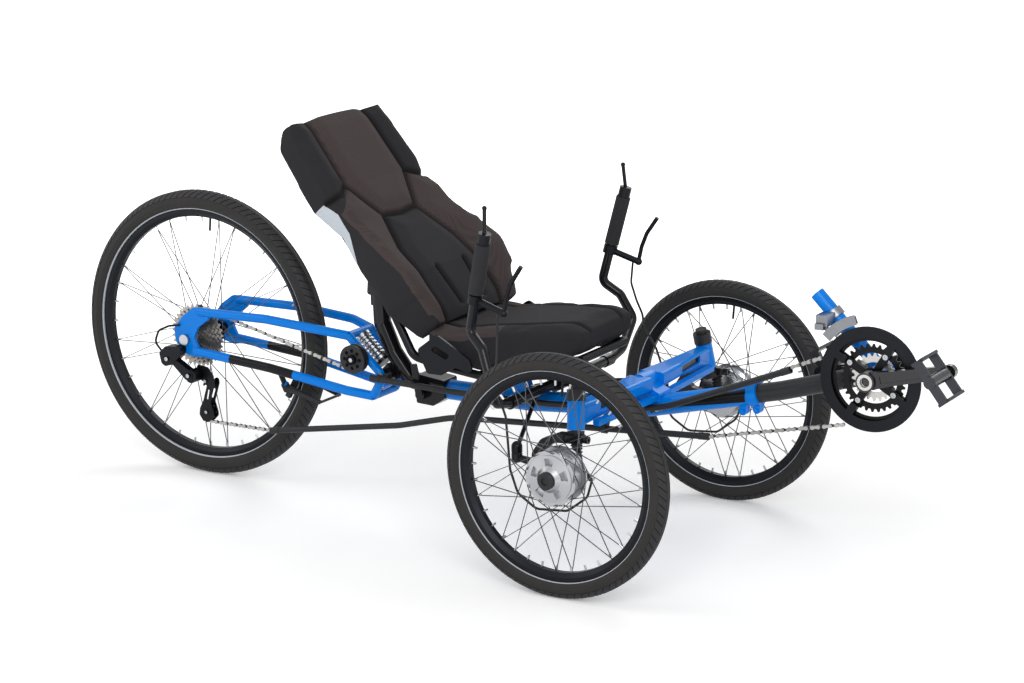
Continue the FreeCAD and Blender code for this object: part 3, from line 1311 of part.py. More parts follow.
def back_point(along, up):
    """A point on the middle plane: along the seat back and out from its front face."""
    lean = math.radians(BACK_LEAN)
    return V(BACK_FOOT_X - along * math.cos(lean) + up * math.sin(lean), 0,
             BACK_FOOT_Z + along * math.sin(lean) + up * math.cos(lean))


def back_cushion():
    """Padded back with wings; stations are (along, half width, depth, wing)."""
    stations = [(8, 160, 42, 14), (60, 192, BACK_DEPTH, 40), (120, 198, BACK_DEPTH, 50),
                (190, 198, BACK_DEPTH, 42), (250, 192, BACK_DEPTH, 14), (400, 186, BACK_DEPTH, 8),
                (470, 182, 46, 4), (500, 168, 34, 2)]
    wires = []
    for along, half, depth, wing in stations:
        rear = back_point(along, -depth)
        front = back_point(along, 0)
        tip = back_point(along, wing)
        outline = [rear - V(0, half, 0), rear + V(0, half, 0), tip + V(0, half, 0),
                   front + V(0, half * 0.55, 0), front - V(0, half * 0.55, 0), tip - V(0, half, 0)]
        wires.append(rounded_path(outline, [10.0, 10.0, 6.0, 20.0, 20.0, 6.0], closed=True))
    return loft(wires, True)


def seat_frame():
    """Tube frame behind and under the pads, with its cross tubes."""
    off = BACK_DEPTH + SEAT_TUBE_R + FIT_GAP
    under = SEAT_TUBE_R + SEAT_GAP
    shapes = []
    for side in SIDES.values():
        y = side * SEAT_RAIL_Y
        low, high = back_point(70, -off), back_point(485, -off)
        rail = pipe([V(-100, side * 96, 410 - under), V(-200, side * 124, 388 - under),
                     V(BASE_UNDER_X, y, BASE_UNDER_Z - under), V(-400, y, 376 - under),
                     V(-464, y, 388 - under),
                     V(low.x, y, low.z), V(high.x, y, high.z)], SEAT_TUBE_R, 30.0)
        shapes.append(rail)
    ends = [(V(-100, 0, 410 - under), 96), (V(BASE_UNDER_X, 0, BASE_UNDER_Z - under), SEAT_RAIL_Y),
            (V(SEAT_CROSS_X, 0, SEAT_CROSS_Z), SEAT_RAIL_Y), (back_point(485, -off), SEAT_RAIL_Y)]
    for centre, half in ends:
        shapes.append(rod(centre - V(0, half, 0), centre + V(0, half, 0), SEAT_TUBE_R))
    for side in SIDES.values():
        shapes.append(side_plate(side))
        shapes.append(rod(V(-390, side * SEAT_RAIL_Y, 366), V(-390, side * SIDE_PLATE_Y, 366), 6.0))
    return fuse(*shapes)


def side_plate(side):
    """Moulded plate on the seat's side where the base meets the back, with a slot."""
    outline = [(-384, 440), (-432, 404), (-408, 356), (-374, 356), (-340, 376), (-296, 366), (-306, 396),
               (-348, 420)]
    body = plate_y(outline, side * SIDE_PLATE_Y, 5.0, 10.0)
    slot = plate_y([(-400, 406), (-388, 416), (-352, 400), (-362, 390)], side * SIDE_PLATE_Y, 8.0, 4.0)
    return body.cut(slot)


def make_seat():
    save("base_cushion", base_cushion())
    save("back_cushion", back_cushion())
    save("seat_frame", seat_frame())


os.makedirs("parts", exist_ok=True)
print("axle x", round(AXLE_X, 2))
make_wheels()
make_front_end()
make_frame()
make_steering()
make_drive()
make_seat()
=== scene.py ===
import json
import math

import bmesh
import bpy
from mathutils import Matrix, Vector


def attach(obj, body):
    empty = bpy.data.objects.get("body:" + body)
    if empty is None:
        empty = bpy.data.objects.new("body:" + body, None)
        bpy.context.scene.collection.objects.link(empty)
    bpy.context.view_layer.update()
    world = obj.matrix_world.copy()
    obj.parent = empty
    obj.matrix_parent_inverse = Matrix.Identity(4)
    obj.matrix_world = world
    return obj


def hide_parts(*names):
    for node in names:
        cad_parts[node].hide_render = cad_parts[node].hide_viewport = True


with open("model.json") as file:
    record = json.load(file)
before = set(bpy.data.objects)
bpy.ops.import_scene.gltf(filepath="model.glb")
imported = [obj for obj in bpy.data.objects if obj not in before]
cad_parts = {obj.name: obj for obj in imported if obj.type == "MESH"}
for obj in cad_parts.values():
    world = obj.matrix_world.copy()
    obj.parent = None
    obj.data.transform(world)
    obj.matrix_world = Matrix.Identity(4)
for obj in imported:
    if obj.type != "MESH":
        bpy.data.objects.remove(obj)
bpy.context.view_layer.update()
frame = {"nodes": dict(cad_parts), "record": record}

# Sizes in millimetres; x is counted forward from the front axle, as in the part's source

MM = 0.001
FRONT_AXLE = 359.03
FRONT_TYRE_R = 243.0
FRONT_WHEEL_Y = 368.4
FRONT_TYRE_WIDTH = 40.0
FRONT_TREAD_BARS = 88
REAR_AXLE_X = -1116.0
REAR_TYRE_R = 324.2
REAR_TYRE_WIDTH = 47.0
REAR_TREAD_BARS = 112
RIM_OVERLAP = 6.0
RIM_DEPTH = 18.0
SPOKE_COUNT = 36
BB_X = 515.0
BB_Z = 428.0
SMALL_RING_R = 49.0
SPIDER_TURN = math.radians(31.0)
IDLER_X = -670.0
IDLER_Z = 330.0
LUG_TOP = (2.0, 295.0)
BOOM_CLAMP = (241.0, 351.0)
CHAIN_PITCH = 12.7
SIDES = {"left": 1, "right": -1}


def at(x, y, z):
    """A point in the frame's metres, from millimetres counted at the front axle."""
    return Vector(((x + FRONT_AXLE) * MM, y * MM, z * MM))


# Each wheel: name of its pieces, node of its tyre, body, centre, outer radius, tyre's width, bars of tread
WHEELS = [("front_" + name, "front_tyre_" + name, "wheel_" + name, at(0, side * FRONT_WHEEL_Y, FRONT_TYRE_R),
           FRONT_TYRE_R, FRONT_TYRE_WIDTH, FRONT_TREAD_BARS) for name, side in SIDES.items()]
WHEELS.append(("rear", "rear_tyre", "wheel_rear", at(REAR_AXLE_X, 0, REAR_TYRE_R),
               REAR_TYRE_R, REAR_TYRE_WIDTH, REAR_TREAD_BARS))


def new_object(name, data):
    """An object for a mesh, a lamp or the camera, put in the scene."""
    thing = bpy.data.objects.new(name, data)
    bpy.context.scene.collection.objects.link(thing)
    return thing


# Colours on the screen, 0 to 255

BLUE = (0, 124, 222)
PANEL_BLACK = (22, 23, 26)
TYRE_BLACK = (38, 37, 37)
TYRE_DUST = (52, 50, 48)
# Painted shade: the tread's shoulders between its bars and its two slots, darker than the rubber
TYRE_SHOULDER_SHADE = (17, 17, 17)
TYRE_SLOT_SHADE = (14, 14, 14)
TYRE_RING = (176, 182, 188)
CLOTH_BLACK = (40, 39, 41)
CLOTH_FADED = (50, 49, 52)
MESH_DARK = (62, 54, 54)
MESH_PALE = (74, 66, 65)
STRIP_SILVER = (190, 197, 205)
SEAM_BLACK = (9, 9, 10)
RING_BLACK = (30, 30, 32)
RING_BARE = (196, 194, 190)
CRANK_BLACK = (34, 34, 37)
CRANK_BARE = (198, 196, 194)
BOLT_BARE = (176, 177, 180)
WASHER_BLACK = (24, 24, 26)
# Painted shade: the inner links darker than the outer ones
INNER_LINK_SHADE = (66, 62, 56)
OUTER_LINK = (188, 189, 190)
OILED_LINK = (140, 132, 120)
FLOOR_WHITE = (252, 252, 252)


def linear(colour):
    """Screen colour in 0 to 255 as the shader's own linear values."""
    shares = [value / 255 for value in colour]
    return [s / 12.92 if s < 0.04045 else ((s + 0.055) / 1.055) ** 2.4 for s in shares] + [1.0]


# Nodes

class Value:
    """A number inside a tree of nodes, on which Python's signs add the maths."""

    def __init__(self, home, socket):
        self.home = home
        self.socket = socket

    def maths(self, operation, *numbers):
        node = self.home.node("ShaderNodeMath", {"operation": operation}, numbers)
        return Value(self.home, node.outputs[0])

    def __add__(self, other):
        return self.maths("ADD", self, other)

    def __sub__(self, other):
        return self.maths("SUBTRACT", self, other)

    def __rsub__(self, other):
        return self.maths("SUBTRACT", other, self)

    def __mul__(self, other):
        return self.maths("MULTIPLY", self, other)

    def __pow__(self, other):
        return self.maths("POWER", self, other)

    def __gt__(self, other):
        return self.maths("GREATER_THAN", self, other)

    def __lt__(self, other):
        return self.maths("LESS_THAN", self, other)

    def sine(self):
        return self.maths("SINE", self)

    def size(self):
        return self.maths("ABSOLUTE", self)

    def most(self, other):
        return self.maths("MAXIMUM", self, other)

    def least(self, other):
        return self.maths("MINIMUM", self, other)

    def within(self, low, high):
        """1 between two limits, 0 elsewhere."""
        return (self > low) * (self < high)


class Nodes:
    """A tree of nodes: of a material, of the world or of a modifier."""

    def __init__(self, tree):
        self.tree = tree

    def connect(self, source, target):
        self.tree.links.new(source, target)

    def node(self, kind, settings, values):
        """One node: its type, its settings, then the values or links of its sockets."""
        node = self.tree.nodes.new(kind)
        for name, setting in settings.items():
            setattr(node, name, setting)
        pairs = values.items() if isinstance(values, dict) else enumerate(values)
        for key, value in pairs:
            if isinstance(value, Value):
                value = value.socket
            if isinstance(value, bpy.types.NodeSocket):
                self.connect(value, node.inputs[key])
            else:
                node.inputs[key].default_value = value
        return node

    def seen(self):
        """1 for rays that look at the scene, 0 for those that only light it."""
        path = self.node("ShaderNodeLightPath", {}, {})
        looks = Value(self, path.outputs["Is Camera Ray"])
        for ray in ("Is Glossy Ray", "Is Transmission Ray"):
            looks = looks.most(Value(self, path.outputs[ray]))
        return looks


class Finish(Nodes):
    """One material of the trike: its shader and what feeds it."""

    COAT_ROUGHNESS = 0.06

    def __init__(self, name, colour, roughness, metallic=0.0, coat=0.0, shine=0.5):
        self.material = bpy.data.materials.new(name)
        self.material.use_nodes = True
        super().__init__(self.material.node_tree)
        self.shader = self.tree.nodes["Principled BSDF"]
        self.colour = linear(colour)
        self.material.diffuse_color = self.colour
        for socket, value in (("Base Color", self.colour), ("Roughness", roughness), ("Metallic", metallic),
                              ("Coat Weight", coat), ("Coat Roughness", self.COAT_ROUGHNESS),
                              ("Specular IOR Level", shine)):
            self.shader.inputs[socket].default_value = value

    def feed(self, name, value):
        """Links a value, or a node's colour or normal, to the shader."""
        self.connect(value.socket if isinstance(value, Value) else value, self.shader.inputs[name])

    def place(self, centre=(0, 0, 0)):
        """The point in the frame's metres, from a centre."""
        coordinate = self.node("ShaderNodeTexCoord", {}, {})
        move = self.node("ShaderNodeMapping", {"vector_type": "POINT"},
                         {"Vector": coordinate.outputs["Object"], "Location": [-value for value in centre]})
        return move.outputs[0]

    def parts(self, centre=(0, 0, 0)):
        """The point's three coordinates, from a centre."""
        split = self.node("ShaderNodeSeparateXYZ", {}, [self.place(centre)])
        return [Value(self, socket) for socket in split.outputs]

    def about(self, centre):
        """How far the point is from an axle along Y through a centre, and where along it."""
        across, over, up = self.parts(centre)
        return (across * across + up * up) ** 0.5, over

    def noise(self, scale, detail=2.0, centre=(0, 0, 0)):
        node = self.node("ShaderNodeTexNoise", {},
                         {"Vector": self.place(centre), "Scale": scale, "Detail": detail})
        return Value(self, node.outputs["Fac"])

    def attribute(self, name):
        node = self.node("ShaderNodeAttribute", {"attribute_name": name}, {})
        return Value(self, node.outputs["Fac"])

    def mix(self, share, low, high):
        """A colour between two; each is a screen colour, a node's colour or linear values."""
        low, high = [linear(end) if isinstance(end, tuple) else end for end in (low, high)]
        return self.node("ShaderNodeMix", {"data_type": "RGBA"}, {0: share, 6: low, 7: high}).outputs[2]

    def bump(self, height, depth, strength):
        """Relief of a depth in metres."""
        node = self.node("ShaderNodeBump", {}, {"Height": height, "Distance": depth, "Strength": strength})
        self.feed("Normal", node.outputs[0])


# Materials

# Where black replaces the frame's blue, in metres from the front axle
TUBE_PANEL_X = (0.012, 0.231)
TUBE_PANEL_Y = 0.004
TUBE_PANEL_TAPER = 0.06
TUBE_PANEL_TIP = 0.0015
TUBE_PANEL_LOWER = 0.8
ARM_PANEL_X = 0.006
ARM_PANEL_Y = (0.1125, 0.2145)
ARM_PANEL_Z = (0.3414, 0.3566)
STAY_PANEL_X = (-0.995, -0.83)
STAY_PANEL_Y = 0.055
STAY_PANEL_Z = (0.2, 0.33)


def tube_panel(x, y, z):
    """A long wedge along each side of the tube between lug and boom."""
    rise = (BOOM_CLAMP[1] - LUG_TOP[1]) / (BOOM_CLAMP[0] - LUG_TOP[0])
    height = z - (x * rise + (LUG_TOP[1] - LUG_TOP[0] * rise) * MM)
    wide = (x - LUG_TOP[0] * MM) * TUBE_PANEL_TAPER + TUBE_PANEL_TIP
    flanks = x.within(*TUBE_PANEL_X) * (y.size() > TUBE_PANEL_Y)
    return flanks * (height < wide) * (height + wide * TUBE_PANEL_LOWER > 0.0)


def arm_panel(x, y, z):
    """The recess in the front of each suspension arm."""
    return (x > ARM_PANEL_X) * y.size().within(*ARM_PANEL_Y) * z.within(*ARM_PANEL_Z)


def stay_panel(x, y, z):
    """A band on the outside of the lower stays."""
    return x.within(*STAY_PANEL_X) * (y.size() > STAY_PANEL_Y) * z.within(*STAY_PANEL_Z)


def painted(name, colour, roughness, coat, panel=None):
    """Sprayed enamel under a clear coat; a panel is where black replaces the colour."""
    paint = Finish(name, colour, roughness, coat=coat, shine=0.05)
    darker = tuple(value * 0.8 for value in colour)
    cover = paint.mix(paint.noise(scale=9.0) * 0.16, paint.colour, darker)
    if panel:
        cover = paint.mix(panel(*paint.parts(at(0, 0, 0))), cover, PANEL_BLACK)
    paint.feed("Base Color", cover)
    paint.bump(paint.noise(scale=420.0), depth=0.00012, strength=0.25)
    return paint.material


def metal(name, colour, roughness):
    """Bare or anodised metal with a fine grain and a little handling wear."""
    alloy = Finish(name, colour, roughness, metallic=1.0)
    alloy.feed("Roughness", alloy.noise(scale=34.0, detail=4.0) * 0.22 + (roughness - 0.11))
    alloy.bump(alloy.noise(scale=260.0), depth=0.00012, strength=0.3)
    return alloy.material


def moulded(name, colour, roughness):
    """Black plastic or rubber with a matt moulded skin."""
    skin = Finish(name, colour, roughness, shine=0.3)
    paler = tuple(value * 1.3 for value in colour)
    skin.feed("Base Color", skin.mix(skin.noise(scale=60.0) * 0.5, skin.colour, paler))
    skin.bump(skin.noise(scale=900.0), depth=0.0002, strength=0.3)
    return skin.material


def tyre_rubber(name, centre, outer_r, width):
    """Dark rubber with painted shade on the tread's shoulders and in its two slots, a pale reflecting ring
    low on each wall, and fine rings moulded round it.
    """
    rubber = Finish(name, TYRE_BLACK, 0.62, shine=0.22)
    radius, over = rubber.about(centre)
    wide = width * MM
    cover = rubber.mix(rubber.noise(scale=26.0, detail=5.0, centre=centre) * 0.6, rubber.colour, TYRE_DUST)
    # Painted shade on the tread's shoulders, between the tread bars
    shoulder_shade = over.size().within(wide * 0.155, wide * 0.45) * (radius > outer_r * MM - wide * 0.3)
    cover = rubber.mix(shoulder_shade, cover, TYRE_SHOULDER_SHADE)
    # Painted shade in the two slots, one each side of the middle
    slot = ((over.size() - 0.0045).size() < 0.0007) * (radius > (outer_r - 6) * MM)
    cover = rubber.mix(slot, cover, TYRE_SLOT_SHADE)
    ring = ((radius - (outer_r * MM - wide * 0.86)).size() < 0.0016) * (over.size() > wide * 0.22)
    rubber.feed("Base Color", rubber.mix(ring, cover, TYRE_RING))
    rubber.feed("Roughness", 0.62 - ring * 0.25)
    moulding = (radius * 2600.0).sine() * 0.3
    rubber.bump(moulding + rubber.noise(scale=500.0, centre=centre), depth=0.0003, strength=0.5)
    return rubber.material


def seat_fabric(name):
    """Woven cover: brown spacer mesh on the panels marked so, black cloth elsewhere."""
    cloth = Finish(name, CLOTH_BLACK, 0.9, shine=0.15)
    across, over, up = cloth.parts()
    weave = (over * 1500.0).sine() * ((across + up) * 1500.0).sine()
    mesh = cloth.attribute("mesh_panel") > 0.5
    black = cloth.mix(cloth.noise(scale=14.0, detail=4.0) * 0.5, cloth.colour, CLOTH_FADED)
    cover = cloth.mix(mesh, black, cloth.mix(weave * 0.5 + 0.5, MESH_DARK, MESH_PALE))
    cover = cloth.mix(cloth.attribute("silver_strip") > 0.5, cover, STRIP_SILVER)
    cloth.feed("Base Color", cloth.mix(cloth.attribute("groove") * 0.85, cover, SEAM_BLACK))
    relief = weave * (mesh * 0.7 + 0.3) + cloth.noise(scale=160.0, detail=4.0)
    cloth.bump(relief, depth=0.0004, strength=0.5)
    return cloth.material


def ring_metal(name):
    """Black anodised rings on a black spider; only the smallest ring is bare steel."""
    alloy = Finish(name, RING_BLACK, 0.36, metallic=0.9)
    radius, over = alloy.about(at(BB_X, 0, BB_Z))
    bare = (radius < SMALL_RING_R * MM) * (radius > 0.0295) * (over > -0.0452)
    alloy.feed("Base Color", alloy.mix(bare, alloy.colour, RING_BARE))
    alloy.bump(alloy.noise(scale=260.0), depth=0.00012, strength=0.3)
    return alloy.material


def crank_metal(name):
    """Gloss black crank arms, with a bare rim round each end of the spindle."""
    alloy = Finish(name, CRANK_BLACK, 0.24, metallic=0.5, coat=0.4)
    radius, over = alloy.about(at(BB_X, 0, BB_Z))
    bare = radius.within(0.0095, 0.0155) * (over.size() > 0.0835)
    alloy.feed("Base Color", alloy.mix(bare, alloy.colour, CRANK_BARE))
    alloy.bump(alloy.noise(scale=300.0), depth=0.0001, strength=0.2)
    return alloy.material


def bolt_metal(name):
    """Bare axle bolts, except the idler's black washer."""
    alloy = Finish(name, BOLT_BARE, 0.3, metallic=1.0)
    radius, over = alloy.about(at(IDLER_X, 0, IDLER_Z))
    alloy.feed("Base Color", alloy.mix(radius.within(0.0045, 0.03), alloy.colour, WASHER_BLACK))
    alloy.bump(alloy.noise(scale=260.0), depth=0.00012, strength=0.3)
    return alloy.material


def chain_metal(name):
    """Bright outer links, oiled in places, between inner ones darkened with painted shade."""
    alloy = Finish(name, INNER_LINK_SHADE, 0.34, metallic=1.0)
    bright = alloy.mix(alloy.noise(scale=120.0) * 0.5, OUTER_LINK, OILED_LINK)
    alloy.feed("Base Color", alloy.mix(alloy.attribute("outer_link"), alloy.colour, bright))
    return alloy.material


FINISHES = {
    "frame_blue": painted("frame_blue_enamel", BLUE, 0.3, 0.22),
    "frame_black": painted("frame_black_enamel", (22, 22, 25), 0.34, 0.4),
    "boom_grey": painted("boom_satin_grey", (52, 53, 56), 0.4, 0.15),
    "black_alloy": metal("black_anodised_alloy", (38, 39, 42), 0.42),
    "silver_alloy": metal("silver_polished_alloy", (172, 174, 177), 0.32),
    "steel": metal("bright_steel", (176, 177, 180), 0.28),
    "drive_steel": metal("oiled_chain_steel", (150, 146, 140), 0.34),
    "chain_steel": chain_metal("chain_link_steel"),
    "spoke_steel": metal("dark_spoke_steel", (84, 85, 88), 0.35),
    "tyre_rubber": moulded("plain_rubber", (36, 36, 38), 0.6),
    "grip_rubber": moulded("grip_foam", (34, 34, 36), 0.8),
    "black_plastic": moulded("black_plastic", (30, 31, 33), 0.5),
    "hub_black": metal("black_hub_shell", (44, 45, 48), 0.38),
    "seat_fabric": seat_fabric("seat_cover"),
}

# Nodes that don't take their slot's finish
OWN_FINISHES = {
    "main_frame": painted("main_tube_enamel", BLUE, 0.3, 0.22, tube_panel),
    "upper_arms": painted("arm_enamel", BLUE, 0.3, 0.22, arm_panel),
    "swingarm": painted("swingarm_enamel", BLUE, 0.3, 0.22, stay_panel),
    "chainrings": ring_metal("chainring_black_and_bare"),
    "crank_arms": crank_metal("crank_gloss_black"),
    "front_derailleur": metal("front_derailleur_grey", (128, 130, 134), 0.34),
    "axle_bolts": bolt_metal("axle_bolt_steel"),
    "pedal_left": metal("pedal_dark_alloy_left", (62, 63, 67), 0.34),
    "pedal_right": metal("pedal_dark_alloy_right", (62, 63, 67), 0.34),
}
for _, tyre, _, centre, outer_r, width, _ in WHEELS:
    OWN_FINISHES[tyre] = tyre_rubber(tyre.replace("tyre", "tyre_wall"), centre, outer_r, width)


def finish_frame():
    """Each node takes its own finish, or else its slot's."""
    for part in frame["record"]["subparts"]:
        node = part["node"]
        mesh = frame["nodes"][node].data
        mesh.materials.clear()
        mesh.materials.append(OWN_FINISHES.get(node) or FINISHES[part["material_slot"]])


# Meshes

def face_outwards(source, target, merge=0.0):
    """Writes one mesh into another, its faces turned outwards and points within a reach merged."""
    work = bmesh.new()
    work.from_mesh(source)
    if merge:
        bmesh.ops.remove_doubles(work, verts=work.verts, dist=merge)
    bmesh.ops.recalc_face_normals(work, faces=work.faces)
    work.to_mesh(target)
    work.free()


def mesh_piece(name, corners, lines, faces):
    """A new object from corners in metres, lines and faces."""
    mesh = bpy.data.meshes.new(name)
    mesh.from_pydata(corners, lines, faces)
    return new_object(name, mesh)


def shape(name, corners, faces):
    """A closed object from corners in millimetres."""
    piece = mesh_piece(name, [Vector(corner) * MM for corner in corners], [], faces)
    face_outwards(piece.data, piece.data)
    return piece


def apply_modifiers(piece):
    """Turns the piece into what its modifiers make of it."""
    graph = bpy.context.evaluated_depsgraph_get()
    mesh = bpy.data.meshes.new_from_object(piece.evaluated_get(graph))
    piece.modifiers.clear()
    piece.data = mesh


def mark(piece, name, values):
    """Stores one number on every point of the piece."""
    layer = piece.data.attributes.new(name, "FLOAT", "POINT")
    layer.data.foreach_set("value", values)


# Cushions

MERGE = 0.05
VOXEL = 6.0
SHRINK = 5.0
SWELL = 7.0
PRESSURE = 4.0
CLOTH_STEPS = 20
SOFTEN_ROUNDS = 6
SETTLE_ROUNDS = 3
EVEN_ROUNDS = 40


def smoothed(piece, name, rounds):
    modifier = piece.modifiers.new(name, "SMOOTH")
    modifier.iterations = rounds


def stuffed(node, name):
    """Remeshes a soft node a little smaller, then lets cloth under pressure round it."""
    piece = new_object(name, bpy.data.meshes.new(name))
    face_outwards(frame["nodes"][node].data, piece.data, MERGE * MM)
    remesh = piece.modifiers.new("grid", "REMESH")
    remesh.mode = "VOXEL"
    remesh.voxel_size = VOXEL * MM
    smoothed(piece, "soften", SOFTEN_ROUNDS)
    apply_modifiers(piece)
    normals = [vertex.normal.copy() for vertex in piece.data.vertices]
    for vertex, normal in zip(piece.data.vertices, normals):
        vertex.co -= normal * (SHRINK * MM)
    inflate(piece)
    smoothed(piece, "settle", SETTLE_ROUNDS)
    divide = piece.modifiers.new("finer", "SUBSURF")
    divide.levels = 1
    divide.render_levels = 1
    apply_modifiers(piece)
    return piece


def inflate(piece):
    """Cloth under pressure, stopped where a point would pass the swell's limit."""
    start = [vertex.co.copy() for vertex in piece.data.vertices]
    cloth = piece.modifiers.new("padding", "CLOTH")
    cloth.settings.use_pressure = True
    cloth.settings.uniform_pressure_force = PRESSURE
    cloth.settings.effector_weights.gravity = 0.0
    scene = bpy.context.scene
    for step in range(1, CLOTH_STEPS + 1):
        scene.frame_set(step)
    apply_modifiers(piece)
    scene.frame_set(1)
    for vertex, rest in zip(piece.data.vertices, start):
        move = vertex.co - rest
        if move.length > SWELL * MM:
            vertex.co = rest + move * (SWELL * MM / move.length)


def evened(piece, values):
    """Averages each point's number with those of its neighbours, over and over."""
    edges = [tuple(edge.vertices) for edge in piece.data.edges]
    for turn in range(EVEN_ROUNDS):
        totals = list(values)
        counts = [1] * len(values)
        for first, second in edges:
            totals[first] += values[second]
            totals[second] += values[first]
            counts[first] += 1
            counts[second] += 1
        values = [total / count for total, count in zip(totals, counts)]
    return values


def ramp(value, low, high):
    """0 up to one limit, 1 from another, straight between."""
    return max(0.0, min(1.0, (value - low) / (high - low)))


def table(points, place):
    """Straight interpolation in a list of (place, value)."""
    for (low, first), (high, last) in zip(points, points[1:]):
        if place <= high:
            return first + (last - first) * max(0.0, place - low) / (high - low)
    return points[-1][1]


def distance(x, y, start, end):
    """How far a point is from a straight line between two others."""
    run_x, run_y = end[0] - start[0], end[1] - start[1]
    share = ((x - start[0]) * run_x + (y - start[1]) * run_y) / (run_x ** 2 + run_y ** 2)
    share = max(0.0, min(1.0, share))
    return math.hypot(x - start[0] - share * run_x, y - start[1] - share * run_y)


def nearness(x, y, line, reach):
    """1 on a line of points, falling smoothly to 0 at the reach."""
    best = min(reach, *[distance(x, y, start, end) for start, end in zip(line, line[1:])])
    return (1 - best / reach) ** 2 * (1 + 2 * best / reach)


def inside(x, y, corners):
    """Whether a point lies inside a closed outline."""
    found = False
    for (ax, ay), (bx, by) in zip(corners, corners[1:] + corners[:1]):
        if (ay > y) != (by > y) and x < ax + (y - ay) * (bx - ax) / (by - ay):
            found = not found
    return found


def depth_inside(x, y, corners):
    """0.5 on an outline, rising to 1 some millimetres inside and falling to 0 outside."""
    gap = min(distance(x, y, start, end) for start, end in zip(corners, corners[1:] + corners[:1]))
    share = min(0.5, gap / EDGE_REACH)
    return 0.5 + share if inside(x, y, corners) else 0.5 - share


GROOVE_REACH = 12.0
GROOVE_DEPTH = 8.0
EDGE_REACH = 12.0
PUFF_REACH = 44.0
PUFF = 9.0

BACK_FOOT = (-418.0, 450.0)
BACK_LEAN = math.radians(52.6)
BACK_DEPTH = 55.0
# Seams of the seat back, as (distance up the back, distance from its middle): head panel, wing, bolster
BACK_SEAMS = [[(515, 104), (462, 108), (350, 112), (262, 62), (256, 0)],
              [(262, 62), (170, 104), (70, 112), (-20, 108)],
              [(350, 112), (330, 150), (326, 215)]]
BACK_SLIT = [(106, 52), (21, 44)]
# Outlines of the brown mesh in the same measures: head panel and wing
BACK_MESH = [[(520, 0), (520, 104), (462, 108), (350, 112), (262, 62), (256, 0)],
             [(350, 112), (262, 62), (170, 104), (70, 112), (-30, 108), (-30, 136), (60, 196), (180, 200),
              (290, 184)]]
BACK_MESH_TURN = 0.12
# The reflecting strip on each side of the back, as (distance up the back, distance out of its front)
BACK_STRIP = [(326, -90), (330, -40), (296, -27), (250, -28), (196, -44), (160, -60), (166, -90)]
STRIP_Y = 150.0
# How far the front of the back curves forward of its plane, by the distance up it
BACK_CURVE = [(-20, 20), (110, 19), (160, 8), (257, -11), (345, -20), (495, -20), (540, -24)]
# How much higher the wings stand than the plain solid's, by the distance up the back
WING_LIFT = [(-20, -6), (60, -10), (190, -14), (250, -6), (290, 0), (340, 0)]
WING_Y = (104.0, 174.0)
# The head end: where it starts and is full, how it widens, rounds its edges, flares behind and grows longer
HEAD_ALONG = (250.0, 330.0)
HEAD_WIDEN = 0.045
HEAD_EDGE = 26.0
HEAD_EDGE_Y = (130.0, 190.0)
HEAD_FLARE = 24.0
HEAD_FLARE_Y = (158.0, 172.0)
CROWN = 22.0
CROWN_ALONG = (390.0, 480.0)
CROWN_MIDDLE = 8.0
CROWN_MIDDLE_ALONG = (440.0, 500.0)
CROWN_MIDDLE_HALF = 150.0
# The foot: below this distance up the back it reaches further down by this share
FOOT_ALONG = 52.0
FOOT_REACH = 0.9

# Seam of the seat base, as (x, distance from its middle)
BASE_SEAM = [(-75, 62), (-200, 96), (-330, 110), (-440, 104)]
BASE_GROOVE_SHARE = 0.6
BASE_MESH_X = -260.0
BASE_MESH_Y = 112.0
BASE_MESH_TURN = 0.2
BASE_LIFT = 16.0
BASE_LIFT_BACK = (370.0, 430.0)
BASE_LIFT_Z = (390.0, 430.0)


def back_place(point):
    """Distances up the back and out of its front face, and sideways, in millimetres."""
    x = point.x / MM - FRONT_AXLE - BACK_FOOT[0]
    z = point.z / MM - BACK_FOOT[1]
    along = -x * math.cos(BACK_LEAN) + z * math.sin(BACK_LEAN)
    up = x * math.sin(BACK_LEAN) + z * math.cos(BACK_LEAN)
    return along, up, point.y / MM


def shape_back(piece, out, rise):
    """Curves the front, evens the wings, and makes the head end longer, deeper and rounder."""
    for vertex in piece.data.vertices:
        along, up, over = back_place(vertex.co)
        side = abs(over)
        front = ramp(up, -BACK_DEPTH, 0.0)
        head = ramp(along, *HEAD_ALONG)
        edge = max(0.0, (side - HEAD_EDGE_Y[0]) / (HEAD_EDGE_Y[1] - HEAD_EDGE_Y[0]))
        forward = table(BACK_CURVE, along) + ramp(side, *WING_Y) * table(WING_LIFT, along)
        forward -= HEAD_EDGE * head * edge ** 2
        flare = head * (1 - front) * ramp(side, *HEAD_FLARE_Y)
        middle = max(0.0, 1 - (over / CROWN_MIDDLE_HALF) ** 2)
        longer = CROWN * ramp(along, *CROWN_ALONG) + CROWN_MIDDLE * ramp(along, *CROWN_MIDDLE_ALONG) * middle
        longer -= FOOT_REACH * max(0.0, FOOT_ALONG - along)
        vertex.co += (out * (front * forward - HEAD_FLARE * flare) + rise * longer) * MM
        vertex.co.y *= 1 + HEAD_WIDEN * head
    piece.data.update()


def finish_cushion(piece, node, marks):
    """Gives a cushion its marks and its cloth, and puts it in place of the plain solid."""
    for name, values in marks.items():
        mark(piece, name, values)
    piece.data.materials.clear()
    piece.data.materials.append(FINISHES["seat_fabric"])
    for face in piece.data.polygons:
        face.use_smooth = True
    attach(piece, "frame")
    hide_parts(node)


